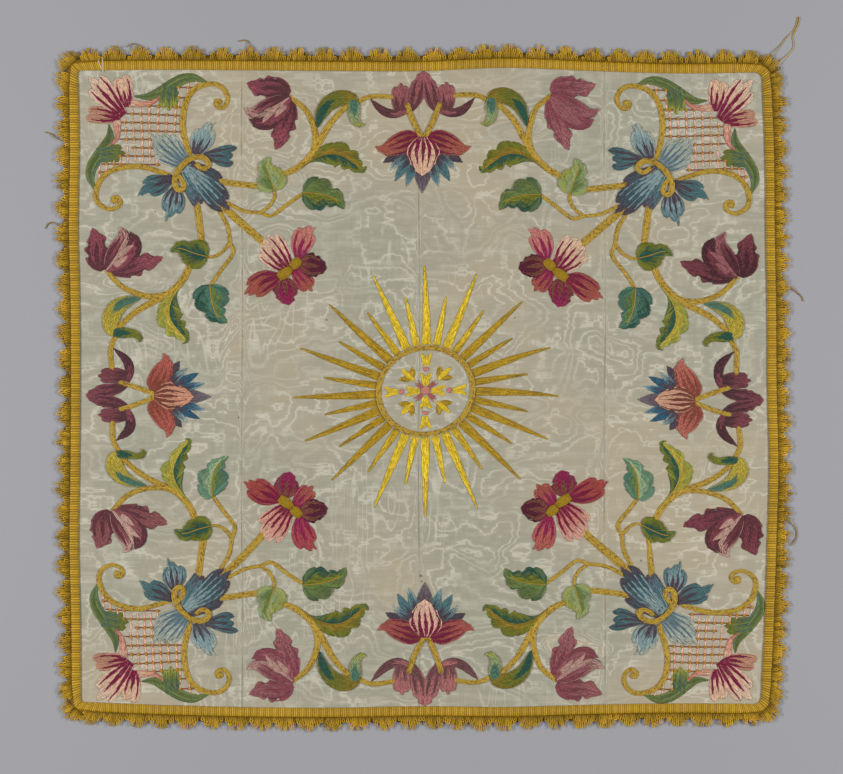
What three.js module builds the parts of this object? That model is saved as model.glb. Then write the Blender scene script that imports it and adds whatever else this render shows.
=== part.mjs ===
// A chalice veil: a square of watered silk with a scalloped gimp edging sewn over its rim, laid out flat
// and face up. Millimetres: +X is to the right as the veil is seen from above, +Y to its head, +Z up.
// The origin is under the middle of the cloth and its edging, on the surface that the veil lies on.
import * as THREE from "three";

// The silk
const silkThickness = 1.0; // silk and its turned-in hem, pressed flat
const silkUnderEdging = 6.0; // how far the silk runs out under the heading
const silkCellsAlong = 28;
const cellsBetweenCreases = 6;
const calmRim = 22.0; // the silk lies flat for this far inside its rim, where the edging holds it

// Three creases from head to foot, where the veil has been folded away: where each lies across it, and how
// far the silk stands up along it
const creases = [-144.0, -2.4, 146.0];
const creaseHeight = 0.5;
const creaseHalfWidth = 4.0;

// The edging
const seatGap = 0.3; // between the silk and the heading that is sewn on it
const headingWidth = 7.2;
const headingThickness = 1.7;
const selvedgeThickness = 1.3; // the heading's inner rim
const headingStep = 1.0; // the slope from the heading down to the fans
const fanThickness = 1.1;
const tipThickness = 0.9;
const tipLift = 0.8; // how far a fan's tip may stand off the level of its root
const mitreGap = 0.5; // between two runs of the edging at a corner
const turnLength = 20.0; // length of rim over which the edging turns to a corner's diagonal
const turnSpread = 14.0; // how much longer that turn is out at the fans
const pitchSway = 1.6; // how far the fans stray from an even pitch

// How far a fan reaches from the inner rim, at eight even steps from its head: head, notch, side loop, root,
// and back. A run begins and ends at a head, which stands on the corner's diagonal.
const fanReach = [18.8, 17.9, 14.8, 15.2, 11.8, 15.2, 14.8, 17.9];

// Inner corners of the edging, and the radius to which each is turned
const corners = {
  topLeft: { at: [-275.2, 254.0], turn: 2.0 },
  topRight: { at: [272.0, 252.4], turn: 6.0 },
  bottomRight: { at: [271.2, -252.8], turn: 6.0 },
  bottomLeft: { at: [-272.8, -251.2], turn: 3.0 },
};

// The four runs, clockwise. bow is how far the rim swells out from the straight line between its corners,
// at seven even stations; it is uneven because the silk has stretched and shrunk.
const runs = [
  {
    name: "edging_top",
    from: "topLeft",
    to: "topRight",
    fans: 27,
    bow: [0.8, 0.6, 0.3, 0.3, 3.2, 0.9, -0.9],
  },
  {
    name: "edging_right",
    from: "topRight",
    to: "bottomRight",
    fans: 29,
    bow: [2.4, 3.1, 4.3, 4.8, 6.2, 4.7, 2.7],
  },
  {
    name: "edging_bottom",
    from: "bottomRight",
    to: "bottomLeft",
    fans: 29,
    bow: [-0.3, 1.0, 3.0, 2.6, 4.0, 3.8, 2.3],
  },
  {
    name: "edging_left",
    from: "bottomLeft",
    to: "topLeft",
    fans: 26,
    bow: [0.1, 1.2, 0.2, -0.6, -0.6, 0.5, -0.6],
  },
];

// Soft ripples that the stitching has drawn into the silk: where each lies, its half length and half width,
// its bearing in degrees from +X, and its height
const ripples = [
  { x: -104, y: 168, long: 46, wide: 15, bearing: -38, height: 1.5 },
  { x: -192, y: 214, long: 34, wide: 13, bearing: 4, height: 0.9 },
  { x: -232, y: 88, long: 44, wide: 14, bearing: 10, height: 1.1 },
  { x: -214, y: -104, long: 40, wide: 14, bearing: -14, height: 1.2 },
  { x: -226, y: -196, long: 38, wide: 14, bearing: -28, height: 1.4 },
  { x: -92, y: -214, long: 48, wide: 15, bearing: 6, height: 1.0 },
  { x: 118, y: -206, long: 44, wide: 14, bearing: -8, height: 1.1 },
  { x: 196, y: -176, long: 38, wide: 14, bearing: 32, height: 1.3 },
  { x: 232, y: -60, long: 42, wide: 14, bearing: 70, height: 0.9 },
  { x: 206, y: 176, long: 40, wide: 14, bearing: -30, height: 1.2 },
  { x: 74, y: 206, long: 50, wide: 14, bearing: 8, height: 1.1 },
  { x: -150, y: 12, long: 52, wide: 16, bearing: 84, height: 0.9 },
];

// Two ends of the gimp's cord that have worked loose at the top right corner. Each route is set by hand.
const looseEndThickness = 0.9;
const looseEndSides = 8;
const looseEnds = [
  {
    name: "loose_end_long",
    steps: 20,
    route: [
      [284.4, 258.8, 1.9],
      [286.9, 261.0, 1.7],
      [289.6, 263.6, 1.2],
      [292.4, 266.4, 0.75],
      [295.2, 269.4, 0.5],
      [297.0, 272.6, 0.5],
      [297.2, 276.0, 0.5],
      [296.4, 279.4, 0.5],
      [297.2, 283.2, 0.5],
      [299.2, 287.2, 0.5],
      [301.0, 291.4, 0.5],
      [302.0, 296.8, 0.5],
    ],
  },
  {
    name: "loose_end_short",
    steps: 17,
    route: [
      [278.8, 265.1, 1.9],
      [280.6, 267.8, 1.7],
      [283.4, 270.6, 1.2],
      [286.2, 273.6, 0.75],
      [288.8, 277.0, 0.5],
      [291.4, 280.4, 0.5],
      [294.2, 282.9, 0.5],
      [297.0, 285.8, 0.5],
      [298.9, 289.8, 0.5],
      [300.2, 294.2, 0.5],
      [300.6, 296.8, 0.5],
    ],
  },
];

const silkColour = new THREE.MeshStandardMaterial({ color: 0xb9b49c, roughness: 0.55, metalness: 0.0 });
const gimpColour = new THREE.MeshStandardMaterial({ color: 0xb8891c, roughness: 0.5, metalness: 0.15 });

// A closed body through a row of sections, each a closed loop of as many points. flatStart and flatEnd hold
// the end loops in their own planes, where the caps are cut.
function loft(sections, flatStart, flatEnd) {
  const count = sections[0].length;
  const positions = sections.flat().flatMap((p) => [p.x, p.y, p.z]);
  const index = [];
  for (let s = 0; s + 1 < sections.length; s++) {
    for (let k = 0; k < count; k++) {
      const a = s * count + k;
      const b = s * count + ((k + 1) % count);
      index.push(a, b, a + count, b, b + count, a + count);
    }
  }
  const last = (sections.length - 1) * count;
  for (const [i, j, k] of capFaces(flatStart)) index.push(i, k, j);
  for (const [i, j, k] of capFaces(flatEnd)) index.push(last + i, last + j, last + k);
  const geometry = new THREE.BufferGeometry();
  geometry.setAttribute("position", new THREE.Float32BufferAttribute(positions, 3));
  geometry.setIndex(index);
  geometry.computeVertexNormals();
  return geometry;
}

// Triangles over a flat loop, all turned the way the loop runs
function capFaces(loop) {
  const turnsLeft = THREE.ShapeUtils.area(loop) > 0;
  return THREE.ShapeUtils.triangulateShape(loop, []).map(([i, j, k]) => {
    const left = THREE.ShapeUtils.area([loop[i], loop[j], loop[k]]) > 0;
    return left === turnsLeft ? [i, j, k] : [i, k, j];
  });
}

// One side of the veil's rim: the straight chord between two corners, its length, and the way along and out
function sideOf(run) {
  const start = new THREE.Vector2(...corners[run.from].at);
  const end = new THREE.Vector2(...corners[run.to].at);
  const along = end.clone().sub(start).normalize();
  const out = new THREE.Vector2(-along.y, along.x);
  const stations = [0, ...run.bow, 0].map((bow, i, all) => new THREE.Vector2(i / (all.length - 1), bow));
  return { start, along, out, length: end.distanceTo(start), swell: new THREE.SplineCurve(stations) };
}

// The point of a side's rim at a distance from its start, moved out by reach
function rimPoint(side, distance, reach) {
  const bow = side.swell.getPoint(THREE.MathUtils.clamp(distance / side.length, 0, 1)).y;
  return side.start.clone().addScaledVector(side.along, distance).addScaledVector(side.out, bow + reach);
}

// How far a rounded corner of that radius draws the rim in, at a distance from the corner
function drawnIn(distance, radius) {
  if (distance >= radius) return 0;
  return radius - Math.sqrt(radius * radius - (radius - distance) ** 2);
}

// How far along the rim from a corner a column stands that is so far from the corner out at the fans
function rimFromFans(distance) {
  const turned = turnLength + turnSpread;
  return distance < turned ? (distance * turnLength) / turned : distance - turnSpread;
}

// Where the columns of a run stand: the distance along the rim, and the lean along it in radians.
// They are even steps apart out at the fans, so they crowd together on the rim where it turns a corner.
function columnsOf(run, first, last) {
  const total = run.fans * fanReach.length;
  const atFans = last - first + 2 * turnSpread;
  return Array.from({ length: total + 1 }, (_, column) => {
    const fan = column / fanReach.length;
    const sway = pitchSway * Math.sin(0.9 * fan + run.fans) * Math.sin((Math.PI * column) / total);
    const out = (atFans * column) / total + sway;
    const distance = out < atFans / 2 ? first + rimFromFans(out) : last - rimFromFans(atFans - out);
    const startTurn = Math.max(0, 1 - (distance - first) / turnLength);
    const endTurn = Math.max(0, 1 - (last - distance) / turnLength);
    return { distance, lean: ((endTurn - startTurn) * Math.PI) / 4, fan: Math.round(fan) };
  });
}

// The sections of one run of the edging, from its mitre at one corner to its mitre at the next
function edgingSections(run) {
  const side = sideOf(run);
  const [startRadius, endRadius] = [corners[run.from].turn, corners[run.to].turn];
  const toDiagonal = 1 - Math.SQRT1_2; // a rounded corner's diagonal, as a share of its radius
  const columns = columnsOf(run, toDiagonal * startRadius, side.length - toDiagonal * endRadius);
  const seat = silkThickness + seatGap;
  const sections = [];
  const flats = [];
  columns.forEach(({ distance, lean, fan }, column) => {
    const inward = drawnIn(distance, startRadius) + drawnIn(side.length - distance, endRadius);
    const inner = rimPoint(side, distance, -inward);
    const outward = side.out.clone().multiplyScalar(Math.cos(lean));
    outward.addScaledVector(side.along, Math.sin(lean));
    const parting = (Number(column === 0) - Number(column === columns.length - 1)) * (mitreGap / 2);
    inner.addScaledVector(new THREE.Vector2(outward.y, -outward.x), parting);
    const uneven = Math.sin(2.4 * fan + run.fans);
    const reach = fanReach[column % fanReach.length] * (1 + 0.04 * uneven);
    const lift = tipLift * (0.5 + 0.5 * uneven);
    const outline = [
      [0, seat],
      [reach, seat + lift],
      [reach, seat + lift + tipThickness],
      [headingWidth + headingStep, seat + fanThickness + 0.4 * lift],
      [headingWidth, seat + headingThickness],
      [0, seat + selvedgeThickness],
    ];
    flats.push(outline.map(([across, up]) => new THREE.Vector2(across, up)));
    sections.push(
      outline.map(([across, up]) => {
        const plan = inner.clone().addScaledVector(outward, across);
        return new THREE.Vector3(plan.x, plan.y, up);
      }),
    );
  });
  return { sections, flatStart: flats[0], flatEnd: flats.at(-1) };
}

// Height of a point of the silk's underside over the table, from the ripples alone
function rippleHeight(x, y) {
  let height = 0;
  for (const ripple of ripples) {
    const turn = THREE.MathUtils.degToRad(ripple.bearing);
    const [dx, dy] = [x - ripple.x, y - ripple.y];
    const lengthwise = (dx * Math.cos(turn) + dy * Math.sin(turn)) / ripple.long;
    const crosswise = (dy * Math.cos(turn) - dx * Math.sin(turn)) / ripple.wide;
    const inside = 1 - lengthwise * lengthwise - crosswise * crosswise;
    if (inside > 0) height = Math.max(height, ripple.height * inside * inside);
  }
  return height;
}

// The lines of points across the silk, from its left edge to its right: one on each crease, one at either
// side of it, and even steps between
function stationsAcross(leftEdge, rightEdge) {
  const folds = [leftEdge - creaseHalfWidth, ...creases, rightEdge + creaseHalfWidth];
  const stations = [];
  for (let panel = 0; panel + 1 < folds.length; panel++) {
    const from = folds[panel] + creaseHalfWidth;
    const to = folds[panel + 1] - creaseHalfWidth;
    if (panel > 0) stations.push({ across: folds[panel], onCrease: true });
    for (let cell = 0; cell <= cellsBetweenCreases; cell++) {
      stations.push({ across: from + ((to - from) * cell) / cellsBetweenCreases, onCrease: false });
    }
  }
  return stations;
}

// The silk: a sheet of even thickness between the four sides of the rim
function silkGeometry() {
  const [top, right, bottom, left] = runs.map(sideOf);
  const leftEdge = corners.topLeft.at[0] - silkUnderEdging;
  const rightEdge = corners.topRight.at[0] + silkUnderEdging;
  const sections = [];
  for (const { across, onCrease } of stationsAcross(leftEdge, rightEdge)) {
    const u = (across - leftEdge) / (rightEdge - leftEdge);
    const head = rimPoint(top, u * top.length, silkUnderEdging);
    const foot = rimPoint(bottom, (1 - u) * bottom.length, silkUnderEdging);
    const [over, under] = [[], []];
    for (let row = 0; row <= silkCellsAlong; row++) {
      const v = row / silkCellsAlong;
      const leftHand = rimPoint(left, v * left.length, silkUnderEdging);
      const rightHand = rimPoint(right, (1 - v) * right.length, silkUnderEdging);
      const x = THREE.MathUtils.lerp(leftHand.x, rightHand.x, u);
      const y = THREE.MathUtils.lerp(foot.y, head.y, v);
      const fromRim = Math.min(u * top.length, (1 - u) * top.length, v * left.length, (1 - v) * left.length);
      const loose = THREE.MathUtils.smoothstep(fromRim, silkUnderEdging, silkUnderEdging + calmRim);
      const height = loose * (rippleHeight(x, y) + (onCrease ? creaseHeight : 0));
      under.push(new THREE.Vector3(x, y, height));
      over.push(new THREE.Vector3(x, y, height + silkThickness));
    }
    sections.push([...under, ...over.reverse()]);
  }
  const flatOf = (section) => section.map((p) => new THREE.Vector2(p.y, p.z));
  return loft(sections, flatOf(sections[0]), flatOf(sections.at(-1)));
}

function edgingGeometry(run) {
  const { sections, flatStart, flatEnd } = edgingSections(run);
  return loft(sections, flatStart, flatEnd);
}

// A loose end of cord, as a tube along its route
function looseEndGeometry(end) {
  const section = new THREE.Shape();
  section.absarc(0, 0, looseEndThickness / 2, 0, 2 * Math.PI);
  const route = new THREE.CatmullRomCurve3(end.route.map((p) => new THREE.Vector3(...p)));
  return new THREE.ExtrudeGeometry(section, {
    steps: end.steps,
    curveSegments: looseEndSides,
    extrudePath: route,
  });
}

function named(name, geometry, material) {
  const mesh = new THREE.Mesh(geometry, material);
  mesh.name = name;
  return mesh;
}

const laidOut = new THREE.Group();
laidOut.add(named("silk_ground", silkGeometry(), silkColour));
for (const run of runs) laidOut.add(named(run.name, edgingGeometry(run), gimpColour));

// The origin goes under the middle of the cloth and its edging, the loose ends left out of the reckoning.
const middle = new THREE.Box3().setFromObject(laidOut).getCenter(new THREE.Vector3());
for (const end of looseEnds) laidOut.add(named(end.name, looseEndGeometry(end), gimpColour));
laidOut.position.set(-middle.x, -middle.y, 0);

const chaliceVeil = new THREE.Group();
chaliceVeil.add(laidOut);
export default chaliceVeil;
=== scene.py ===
import math

import bmesh
import bpy
import numpy as np
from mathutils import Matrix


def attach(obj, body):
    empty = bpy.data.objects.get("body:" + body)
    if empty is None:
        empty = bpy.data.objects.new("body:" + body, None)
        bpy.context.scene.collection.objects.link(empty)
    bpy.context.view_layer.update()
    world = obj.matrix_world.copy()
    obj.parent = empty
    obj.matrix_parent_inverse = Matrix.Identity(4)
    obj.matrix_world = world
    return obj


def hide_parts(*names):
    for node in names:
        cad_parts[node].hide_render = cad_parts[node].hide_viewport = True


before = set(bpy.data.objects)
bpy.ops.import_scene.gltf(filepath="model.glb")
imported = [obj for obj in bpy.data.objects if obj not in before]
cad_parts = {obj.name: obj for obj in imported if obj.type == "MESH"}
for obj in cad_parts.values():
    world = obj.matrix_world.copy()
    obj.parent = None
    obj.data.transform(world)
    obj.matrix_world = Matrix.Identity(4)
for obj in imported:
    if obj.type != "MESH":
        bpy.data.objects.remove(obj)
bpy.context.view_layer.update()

# The camera
# The veil is seen from straight above, square on, as a copy stand shows it. The picture takes in 0.8 mm of
# the veil for each of its 843 by 774 pixels.
picture_wide = 843 * 0.8
sensor_wide = 36.0
camera_height = 1.9
laid_out = np.array([-1.242, 0.096, 0.0])  # from the middle of the picture's plan to the row's origin, mm
picture_middle = np.array([-0.4, 0.8, 0.0]) + laid_out


def set_down(name, data):
    """A new object of the scene."""
    thing = bpy.data.objects.new(name, data)
    bpy.context.scene.collection.objects.link(thing)
    return thing


camera = set_down("camera_above", bpy.data.cameras.new("camera_above"))
camera.location = (picture_middle[0] * 0.001, picture_middle[1] * 0.001, camera_height)
camera.data.sensor_width = sensor_wide
camera.data.lens = sensor_wide * camera_height / (picture_wide * 0.001)
camera.data.clip_start = 0.05
camera.data.clip_end = 20.0
bpy.context.scene.camera = camera


# Two loose ends of the gimp's cord
# Two-ply twisted silk cord, under a millimetre thick, that has worked out of the edging at the top right
# corner. Each drops off the edging and lies on the table, its end bare.
loose_end_thickness, loose_end_ply_pitch = 0.9, 1.5
loose_ends = {
    "loose_end_long": [
        (284.4, 258.8, 1.9), (286.9, 261.0, 1.7), (289.6, 263.6, 1.2), (292.4, 266.4, 0.75),
        (295.2, 269.4, 0.5), (297.0, 272.6, 0.5), (297.2, 276.0, 0.5), (296.4, 279.4, 0.5),
        (297.2, 283.2, 0.5), (299.2, 287.2, 0.5), (301.0, 291.4, 0.5), (302.0, 296.8, 0.5),
    ],
    "loose_end_short": [
        (278.8, 265.1, 1.9), (280.6, 267.8, 1.7), (283.4, 270.6, 1.2), (286.2, 273.6, 0.75),
        (288.8, 277.0, 0.5), (291.4, 280.4, 0.5), (294.2, 282.9, 0.5), (297.0, 285.8, 0.5),
        (298.9, 289.8, 0.5), (300.2, 294.2, 0.5), (300.6, 296.8, 0.5),
    ],
}


def run_of(line):
    """How far along a line each of its points lies."""
    return np.concatenate([[0.0], np.cumsum(np.linalg.norm(np.diff(line, axis=0), axis=1))])


def way_along(line):
    way = np.gradient(line, axis=0)
    return way / np.linalg.norm(way, axis=1)[:, None]


def smooth_line(stops, count):
    """count points, evenly apart, on a smooth line through the stops."""
    stops = np.asarray(stops, float)
    padded = np.vstack([2 * stops[0] - stops[1], stops, 2 * stops[-1] - stops[-2]])
    t = np.linspace(0.0, 1.0, 12, endpoint=False)[:, None]
    fine = []
    for before, a, b, after in zip(padded, padded[1:], padded[2:], padded[3:]):
        square = (2 * before - 5 * a + 4 * b - after) * t**2
        cube = (3 * a - before - 3 * b + after) * t**3
        fine.append(0.5 * (2 * a + (b - before) * t + square + cube))
    fine = np.vstack(fine + [stops[-1:]])
    run = run_of(fine)
    even = np.linspace(0.0, run[-1], count)
    return np.column_stack([np.interp(even, run, fine[:, k]) for k in range(fine.shape[1])])


def cord_tube(route, radius, sides, ply_pitch=0.0):
    """Points and faces of a cord along a route. With a ply pitch, it is two plies twisted together."""
    run, ahead = run_of(route), way_along(route)
    aside = np.cross(ahead, [0.0, 0.0, 1.0])
    aside /= np.linalg.norm(aside, axis=1)[:, None]
    over = np.cross(aside, ahead)
    around = np.linspace(0.0, math.tau, sides, endpoint=False)
    size = np.full((len(route), sides), radius)
    if ply_pitch:
        size *= 0.84 + 0.16 * np.cos(2 * (around[None, :] - math.pi * run[:, None] / ply_pitch))
    rings = (
        route[:, None, :]
        + aside[:, None, :] * (np.cos(around) * size)[:, :, None]
        + over[:, None, :] * (np.sin(around) * size)[:, :, None]
    )
    points = np.vstack([rings.reshape(-1, 3), route[:1], route[-1:]])
    start, end = len(points) - 2, len(points) - 1
    last = (len(route) - 1) * sides
    faces = []
    for k in range(sides):
        n = (k + 1) % sides
        faces += [(r + n, r + k, r + sides + k, r + sides + n) for r in range(0, last, sides)]
        faces += [(start, k, n), (end, last + n, last + k)]
    return points, faces, np.append(np.repeat(run, sides), [0.0, run[-1]])


class Gathered:
    """Points and faces gathered into one mesh."""

    def __init__(self):
        self.points, self.faces, self.count = [], [], 0

    def add(self, points, faces):
        self.points.append(points)
        self.faces += [[corner + self.count for corner in face] for face in faces]
        self.count += len(points)


def new_piece(name, points, faces, material, colours=None, along=None):
    """A piece from points in millimetres of the laid-out veil, riding with it."""
    mesh = bpy.data.meshes.new(name)
    mesh.from_pydata(((points + laid_out) * 0.001).tolist(), [], faces)
    mesh.polygons.foreach_set("use_smooth", [True] * len(mesh.polygons))
    if colours is not None:
        layer = mesh.attributes.new("thread_colour", "FLOAT_COLOR", "POINT")
        layer.data.foreach_set("color", np.column_stack([colours, np.ones(len(colours))]).ravel())
    if along is not None:
        layer = mesh.attributes.new("along_cord", "FLOAT", "POINT")
        layer.data.foreach_set("value", along)
    mesh.materials.append(material)
    faced = bmesh.new()
    faced.from_mesh(mesh)
    bmesh.ops.recalc_face_normals(faced, faces=faced.faces)
    faced.to_mesh(mesh)
    faced.free()
    piece = set_down(name, mesh)
    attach(piece, "root")
    return piece


def dyed(red, green, blue):
    """A thread's colour as it looks on a dyer's card, 0 to 255, as the light that it gives back."""
    card = np.array([red, green, blue]) / 255.0
    return np.where(card <= 0.04045, card / 12.92, ((card + 0.055) / 1.055) ** 2.4)


class Finish:
    """A material's node tree, with short ways to add to it."""

    def __init__(self, name):
        self.material = bpy.data.materials.new(name)
        self.material.use_nodes = True
        self.tree = self.material.node_tree
        self.surface = self.tree.nodes["Principled BSDF"]

    def node(self, kind, **settings):
        made = self.tree.nodes.new(kind)
        for key, value in settings.items():
            setattr(made, key, value)
        return made

    def feed(self, socket, value):
        """value is what another node gives, a number, or a dye."""
        if isinstance(value, bpy.types.NodeSocket):
            self.tree.links.new(value, socket)
        else:
            socket.default_value = [*value, 1.0] if isinstance(value, np.ndarray) else value

    def maths(self, operation, *values, clamp=False):
        made = self.node("ShaderNodeMath", operation=operation, use_clamp=clamp)
        for socket, value in zip(made.inputs, values):
            self.feed(socket, value)
        return made.outputs[0]

    def mixed(self, share, a, b):
        made = self.node("ShaderNodeMix", data_type="RGBA")
        self.feed(made.inputs["Factor"], share)
        self.feed(made.inputs["A"], a)
        self.feed(made.inputs["B"], b)
        return made.outputs["Result"]

    def place(self, scale=(1.0, 1.0), shift=(0.0, 0.0)):
        """The place on the piece, in millimetres, scaled across and up and then shifted."""
        made = self.node("ShaderNodeMapping")
        self.feed(made.inputs["Vector"], self.node("ShaderNodeTexCoord").outputs["Object"])
        made.inputs["Scale"].default_value = [1000.0 * scale[0], 1000.0 * scale[1], 1000.0]
        made.inputs["Location"].default_value = [*shift, 0.0]
        return made.outputs["Vector"]

    def noise(self, scale, shift=(0.0, 0.0), detail=2.0, warp=0.0):
        """scale is one number, or one across the piece and one up it."""
        made = self.node("ShaderNodeTexNoise")
        stretched = isinstance(scale, tuple)
        self.feed(made.inputs["Vector"], self.place(scale, shift) if stretched else self.place())
        made.inputs["Scale"].default_value = 1.0 if stretched else scale
        made.inputs["Detail"].default_value = detail
        made.inputs["Distortion"].default_value = warp
        return made.outputs["Fac"]

    def ramp(self, value, low, high, to_low=0.0, to_high=1.0):
        made = self.node("ShaderNodeMapRange", interpolation_type="SMOOTHSTEP")
        for socket, number in zip(made.inputs, (value, low, high, to_low, to_high)):
            self.feed(socket, number)
        return made.outputs["Result"]

    def thread_dye(self, shade):
        """The colour that each point of the piece was given, shaded."""
        made = self.node("ShaderNodeVectorMath", operation="SCALE")
        dye = self.node("ShaderNodeAttribute", attribute_name="thread_colour").outputs["Color"]
        self.feed(made.inputs[0], dye)
        self.feed(made.inputs["Scale"], shade)
        return made.outputs["Vector"]

    def surfaced(self, colour, roughness, sheen=0.0, specular=0.5, relief=None):
        """The material with its colour and gloss; relief is a height, its strength and how far it stands."""
        self.feed(self.surface.inputs["Base Color"], colour)
        self.feed(self.surface.inputs["Roughness"], roughness)
        self.surface.inputs["Sheen Weight"].default_value = sheen
        self.surface.inputs["Specular IOR Level"].default_value = specular
        if relief is not None:
            made = self.node("ShaderNodeBump")
            self.feed(made.inputs["Height"], relief[0])
            made.inputs["Strength"].default_value = relief[1]
            made.inputs["Distance"].default_value = relief[2]
            self.feed(self.surface.inputs["Normal"], made.outputs["Normal"])
        return self.material


def loose_cord_finish():
    """Gold-coloured silk cord, its plies showing as a fine rope line."""
    finish = Finish("gimp_cord")
    along = finish.node("ShaderNodeAttribute", attribute_name="along_cord").outputs["Fac"]
    rope = finish.maths("SINE", finish.maths("MULTIPLY", along, math.tau / 0.7))
    worn, fleck = finish.noise(0.055, detail=3.0), finish.noise(1.3)
    shadow = dyed(128, 96, 34)
    colour = finish.mixed(finish.ramp(worn, 0.3, 0.7), dyed(220, 186, 92), dyed(184, 146, 52))
    colour = finish.mixed(finish.ramp(fleck, 0.52, 0.8, 0.0, 0.55), colour, shadow)
    # The rope line darkens the cord in the grooves between its plies: painted shade.
    colour = finish.mixed(finish.ramp(rope, -1.0, 0.2, 0.35, 0.0), colour, shadow)
    return finish.surfaced(colour, 0.42, sheen=0.25, relief=(rope, 0.35, 0.00012))


loose_cord = loose_cord_finish()

for name, stops in loose_ends.items():
    route = smooth_line(stops, 140)
    points, faces, along = cord_tube(route, loose_end_thickness / 2, 8, loose_end_ply_pitch)
    piece = new_piece(name + "_cord", points, faces, loose_cord, along=along)
    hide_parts(name)
    path = (route + laid_out) * 0.001
    float(run_of(path)[-1])


# Silk ground
# One square of ribbed silk, watered between rollers so that its crushed ribs shine in wavering lines. It is
# laid flat; three creases run from head to foot, and the stitching has drawn it into soft ripples.
silk_thickness = 1.0
silk_under_edging = 6.0
seen_left, seen_right, seen_foot, seen_head = -275.0, 274.0, -252.0, 253.0  # where the gimp's inner edge is
calm_rim = 22.0
creases = (-144.0, -2.4, 146.0)
crease_height, crease_half_width, crease_wander, wander_length = 0.5, 4.0, 0.5, 41.0
silk_cells_across, silk_cells_along, crease_columns, least_cell = 130, 140, 9, 0.0008
spots = [  # small marks on the silk: across, up, half width, how dark
    (-77.5, 54.5, 0.9, 0.85), (-147.9, -23.3, 1.0, 0.7), (73.0, 56.2, 0.8, 0.7), (-214.5, 141.0, 0.9, 0.7),
    (-2.2, -150.0, 1.5, 0.7), (-1.6, -154.5, 1.2, 0.6), (174.0, -138.0, 1.3, 0.55), (-12.0, 35.0, 1.5, 0.35),
]
corner_plan = {
    "top_left": ((-275.2, 254.0), 2.0),
    "top_right": ((272.0, 252.4), 6.0),
    "bottom_right": ((271.2, -252.8), 6.0),
    "bottom_left": ((-272.8, -251.2), 3.0),
}
sides_plan = {  # from corner, to corner, fans along it, and how far the rim swells at seven stations
    "top": ("top_left", "top_right", 27, (0.8, 0.6, 0.3, 0.3, 3.2, 0.9, -0.9)),
    "right": ("top_right", "bottom_right", 29, (2.4, 3.1, 4.3, 4.8, 6.2, 4.7, 2.7)),
    "bottom": ("bottom_right", "bottom_left", 29, (-0.3, 1.0, 3.0, 2.6, 4.0, 3.8, 2.3)),
    "left": ("bottom_left", "top_left", 26, (0.1, 1.2, 0.2, -0.6, -0.6, 0.5, -0.6)),
}
ripples = [  # across, up, half length, half width, bearing, height
    (-104, 168, 46, 15, -38, 1.5), (-192, 214, 34, 13, 4, 0.9), (-232, 88, 44, 14, 10, 1.1),
    (-214, -104, 40, 14, -14, 1.2), (-226, -196, 38, 14, -28, 1.4), (-92, -214, 48, 15, 6, 1.0),
    (118, -206, 44, 14, -8, 1.1), (196, -176, 38, 14, 32, 1.3), (232, -60, 42, 14, 70, 0.9),
    (206, 176, 40, 14, -30, 1.2), (74, 206, 50, 14, 8, 1.1), (-150, 12, 52, 16, 84, 0.9),
]


class Side:
    """One side of the silk's visible rim, under the gimp's inner edge."""

    def __init__(self, start_name, end_name, fans, bow):
        (start, self.start_radius), (end, self.end_radius) = corner_plan[start_name], corner_plan[end_name]
        self.start = np.array(start)
        self.fans = fans
        self.length = float(np.linalg.norm(np.array(end) - self.start))
        self.ahead = (np.array(end) - self.start) / self.length
        self.out = np.array([-self.ahead[1], self.ahead[0]])
        self.bow = np.array([0.0, *bow, 0.0])

    def swell(self, share):
        place = np.clip(share, 0.0, 1.0) * (len(self.bow) - 1)
        k = np.minimum(place.astype(int), len(self.bow) - 2)
        t = place - k
        last = len(self.bow) - 1
        before, a = self.bow[np.maximum(k - 1, 0)], self.bow[k]
        b, after = self.bow[k + 1], self.bow[np.minimum(k + 2, last)]
        enter, leave = (b - before) / 2, (after - a) / 2
        cube = 2 * a - 2 * b + enter + leave
        square = 3 * b - 3 * a - 2 * enter - leave
        return cube * t**3 + square * t**2 + enter * t + a

    def rim(self, distance, reach):
        bow = self.swell(np.asarray(distance, float) / self.length) + reach
        return self.start + np.multiply.outer(distance, self.ahead) + bow[..., None] * self.out


sides = {name: Side(*plan) for name, plan in sides_plan.items()}


def smooth_share(value, low, high):
    share = np.clip((value - low) / (high - low), 0.0, 1.0)
    return share * share * (3 - 2 * share)


def spread_silk(u, v, reach):
    """The place on the laid-out veil at shares u across and v up the silk, its edge so far past the rim."""
    head = sides["top"].rim(u * sides["top"].length, reach)[..., 1]
    foot = sides["bottom"].rim((1 - u) * sides["bottom"].length, reach)[..., 1]
    left = sides["left"].rim(v * sides["left"].length, reach)[..., 0]
    right = sides["right"].rim((1 - v) * sides["right"].length, reach)[..., 0]
    return left + (right - left) * u, foot + (head - foot) * v


def silk_top(x, y):
    """Height of the silk's face over the table."""
    height = np.zeros_like(x)
    for across, up, long, wide, bearing, high in ripples:
        turn = math.radians(bearing)
        lengthwise = ((x - across) * math.cos(turn) + (y - up) * math.sin(turn)) / long
        crosswise = ((y - up) * math.cos(turn) - (x - across) * math.sin(turn)) / wide
        inside = np.clip(1 - lengthwise**2 - crosswise**2, 0.0, None)
        height = np.maximum(height, high * inside**2)
    for crease in creases:
        off = np.abs(x - crease - crease_wander * np.sin(y / wander_length + crease))
        height = height + crease_height * np.exp(-((off / (0.4 * crease_half_width)) ** 1.3))
    pucker = np.sin(x / 7.3 + 2.1 * np.sin(y / 23.0)) * np.sin(y / 9.1 + 1.7 * np.sin(x / 31.0))
    height = height + 0.14 * pucker
    from_rim = np.minimum.reduce([x - seen_left, seen_right - x, y - seen_foot, seen_head - y])
    return silk_thickness + smooth_share(from_rim, 0.0, calm_rim) * height


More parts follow.
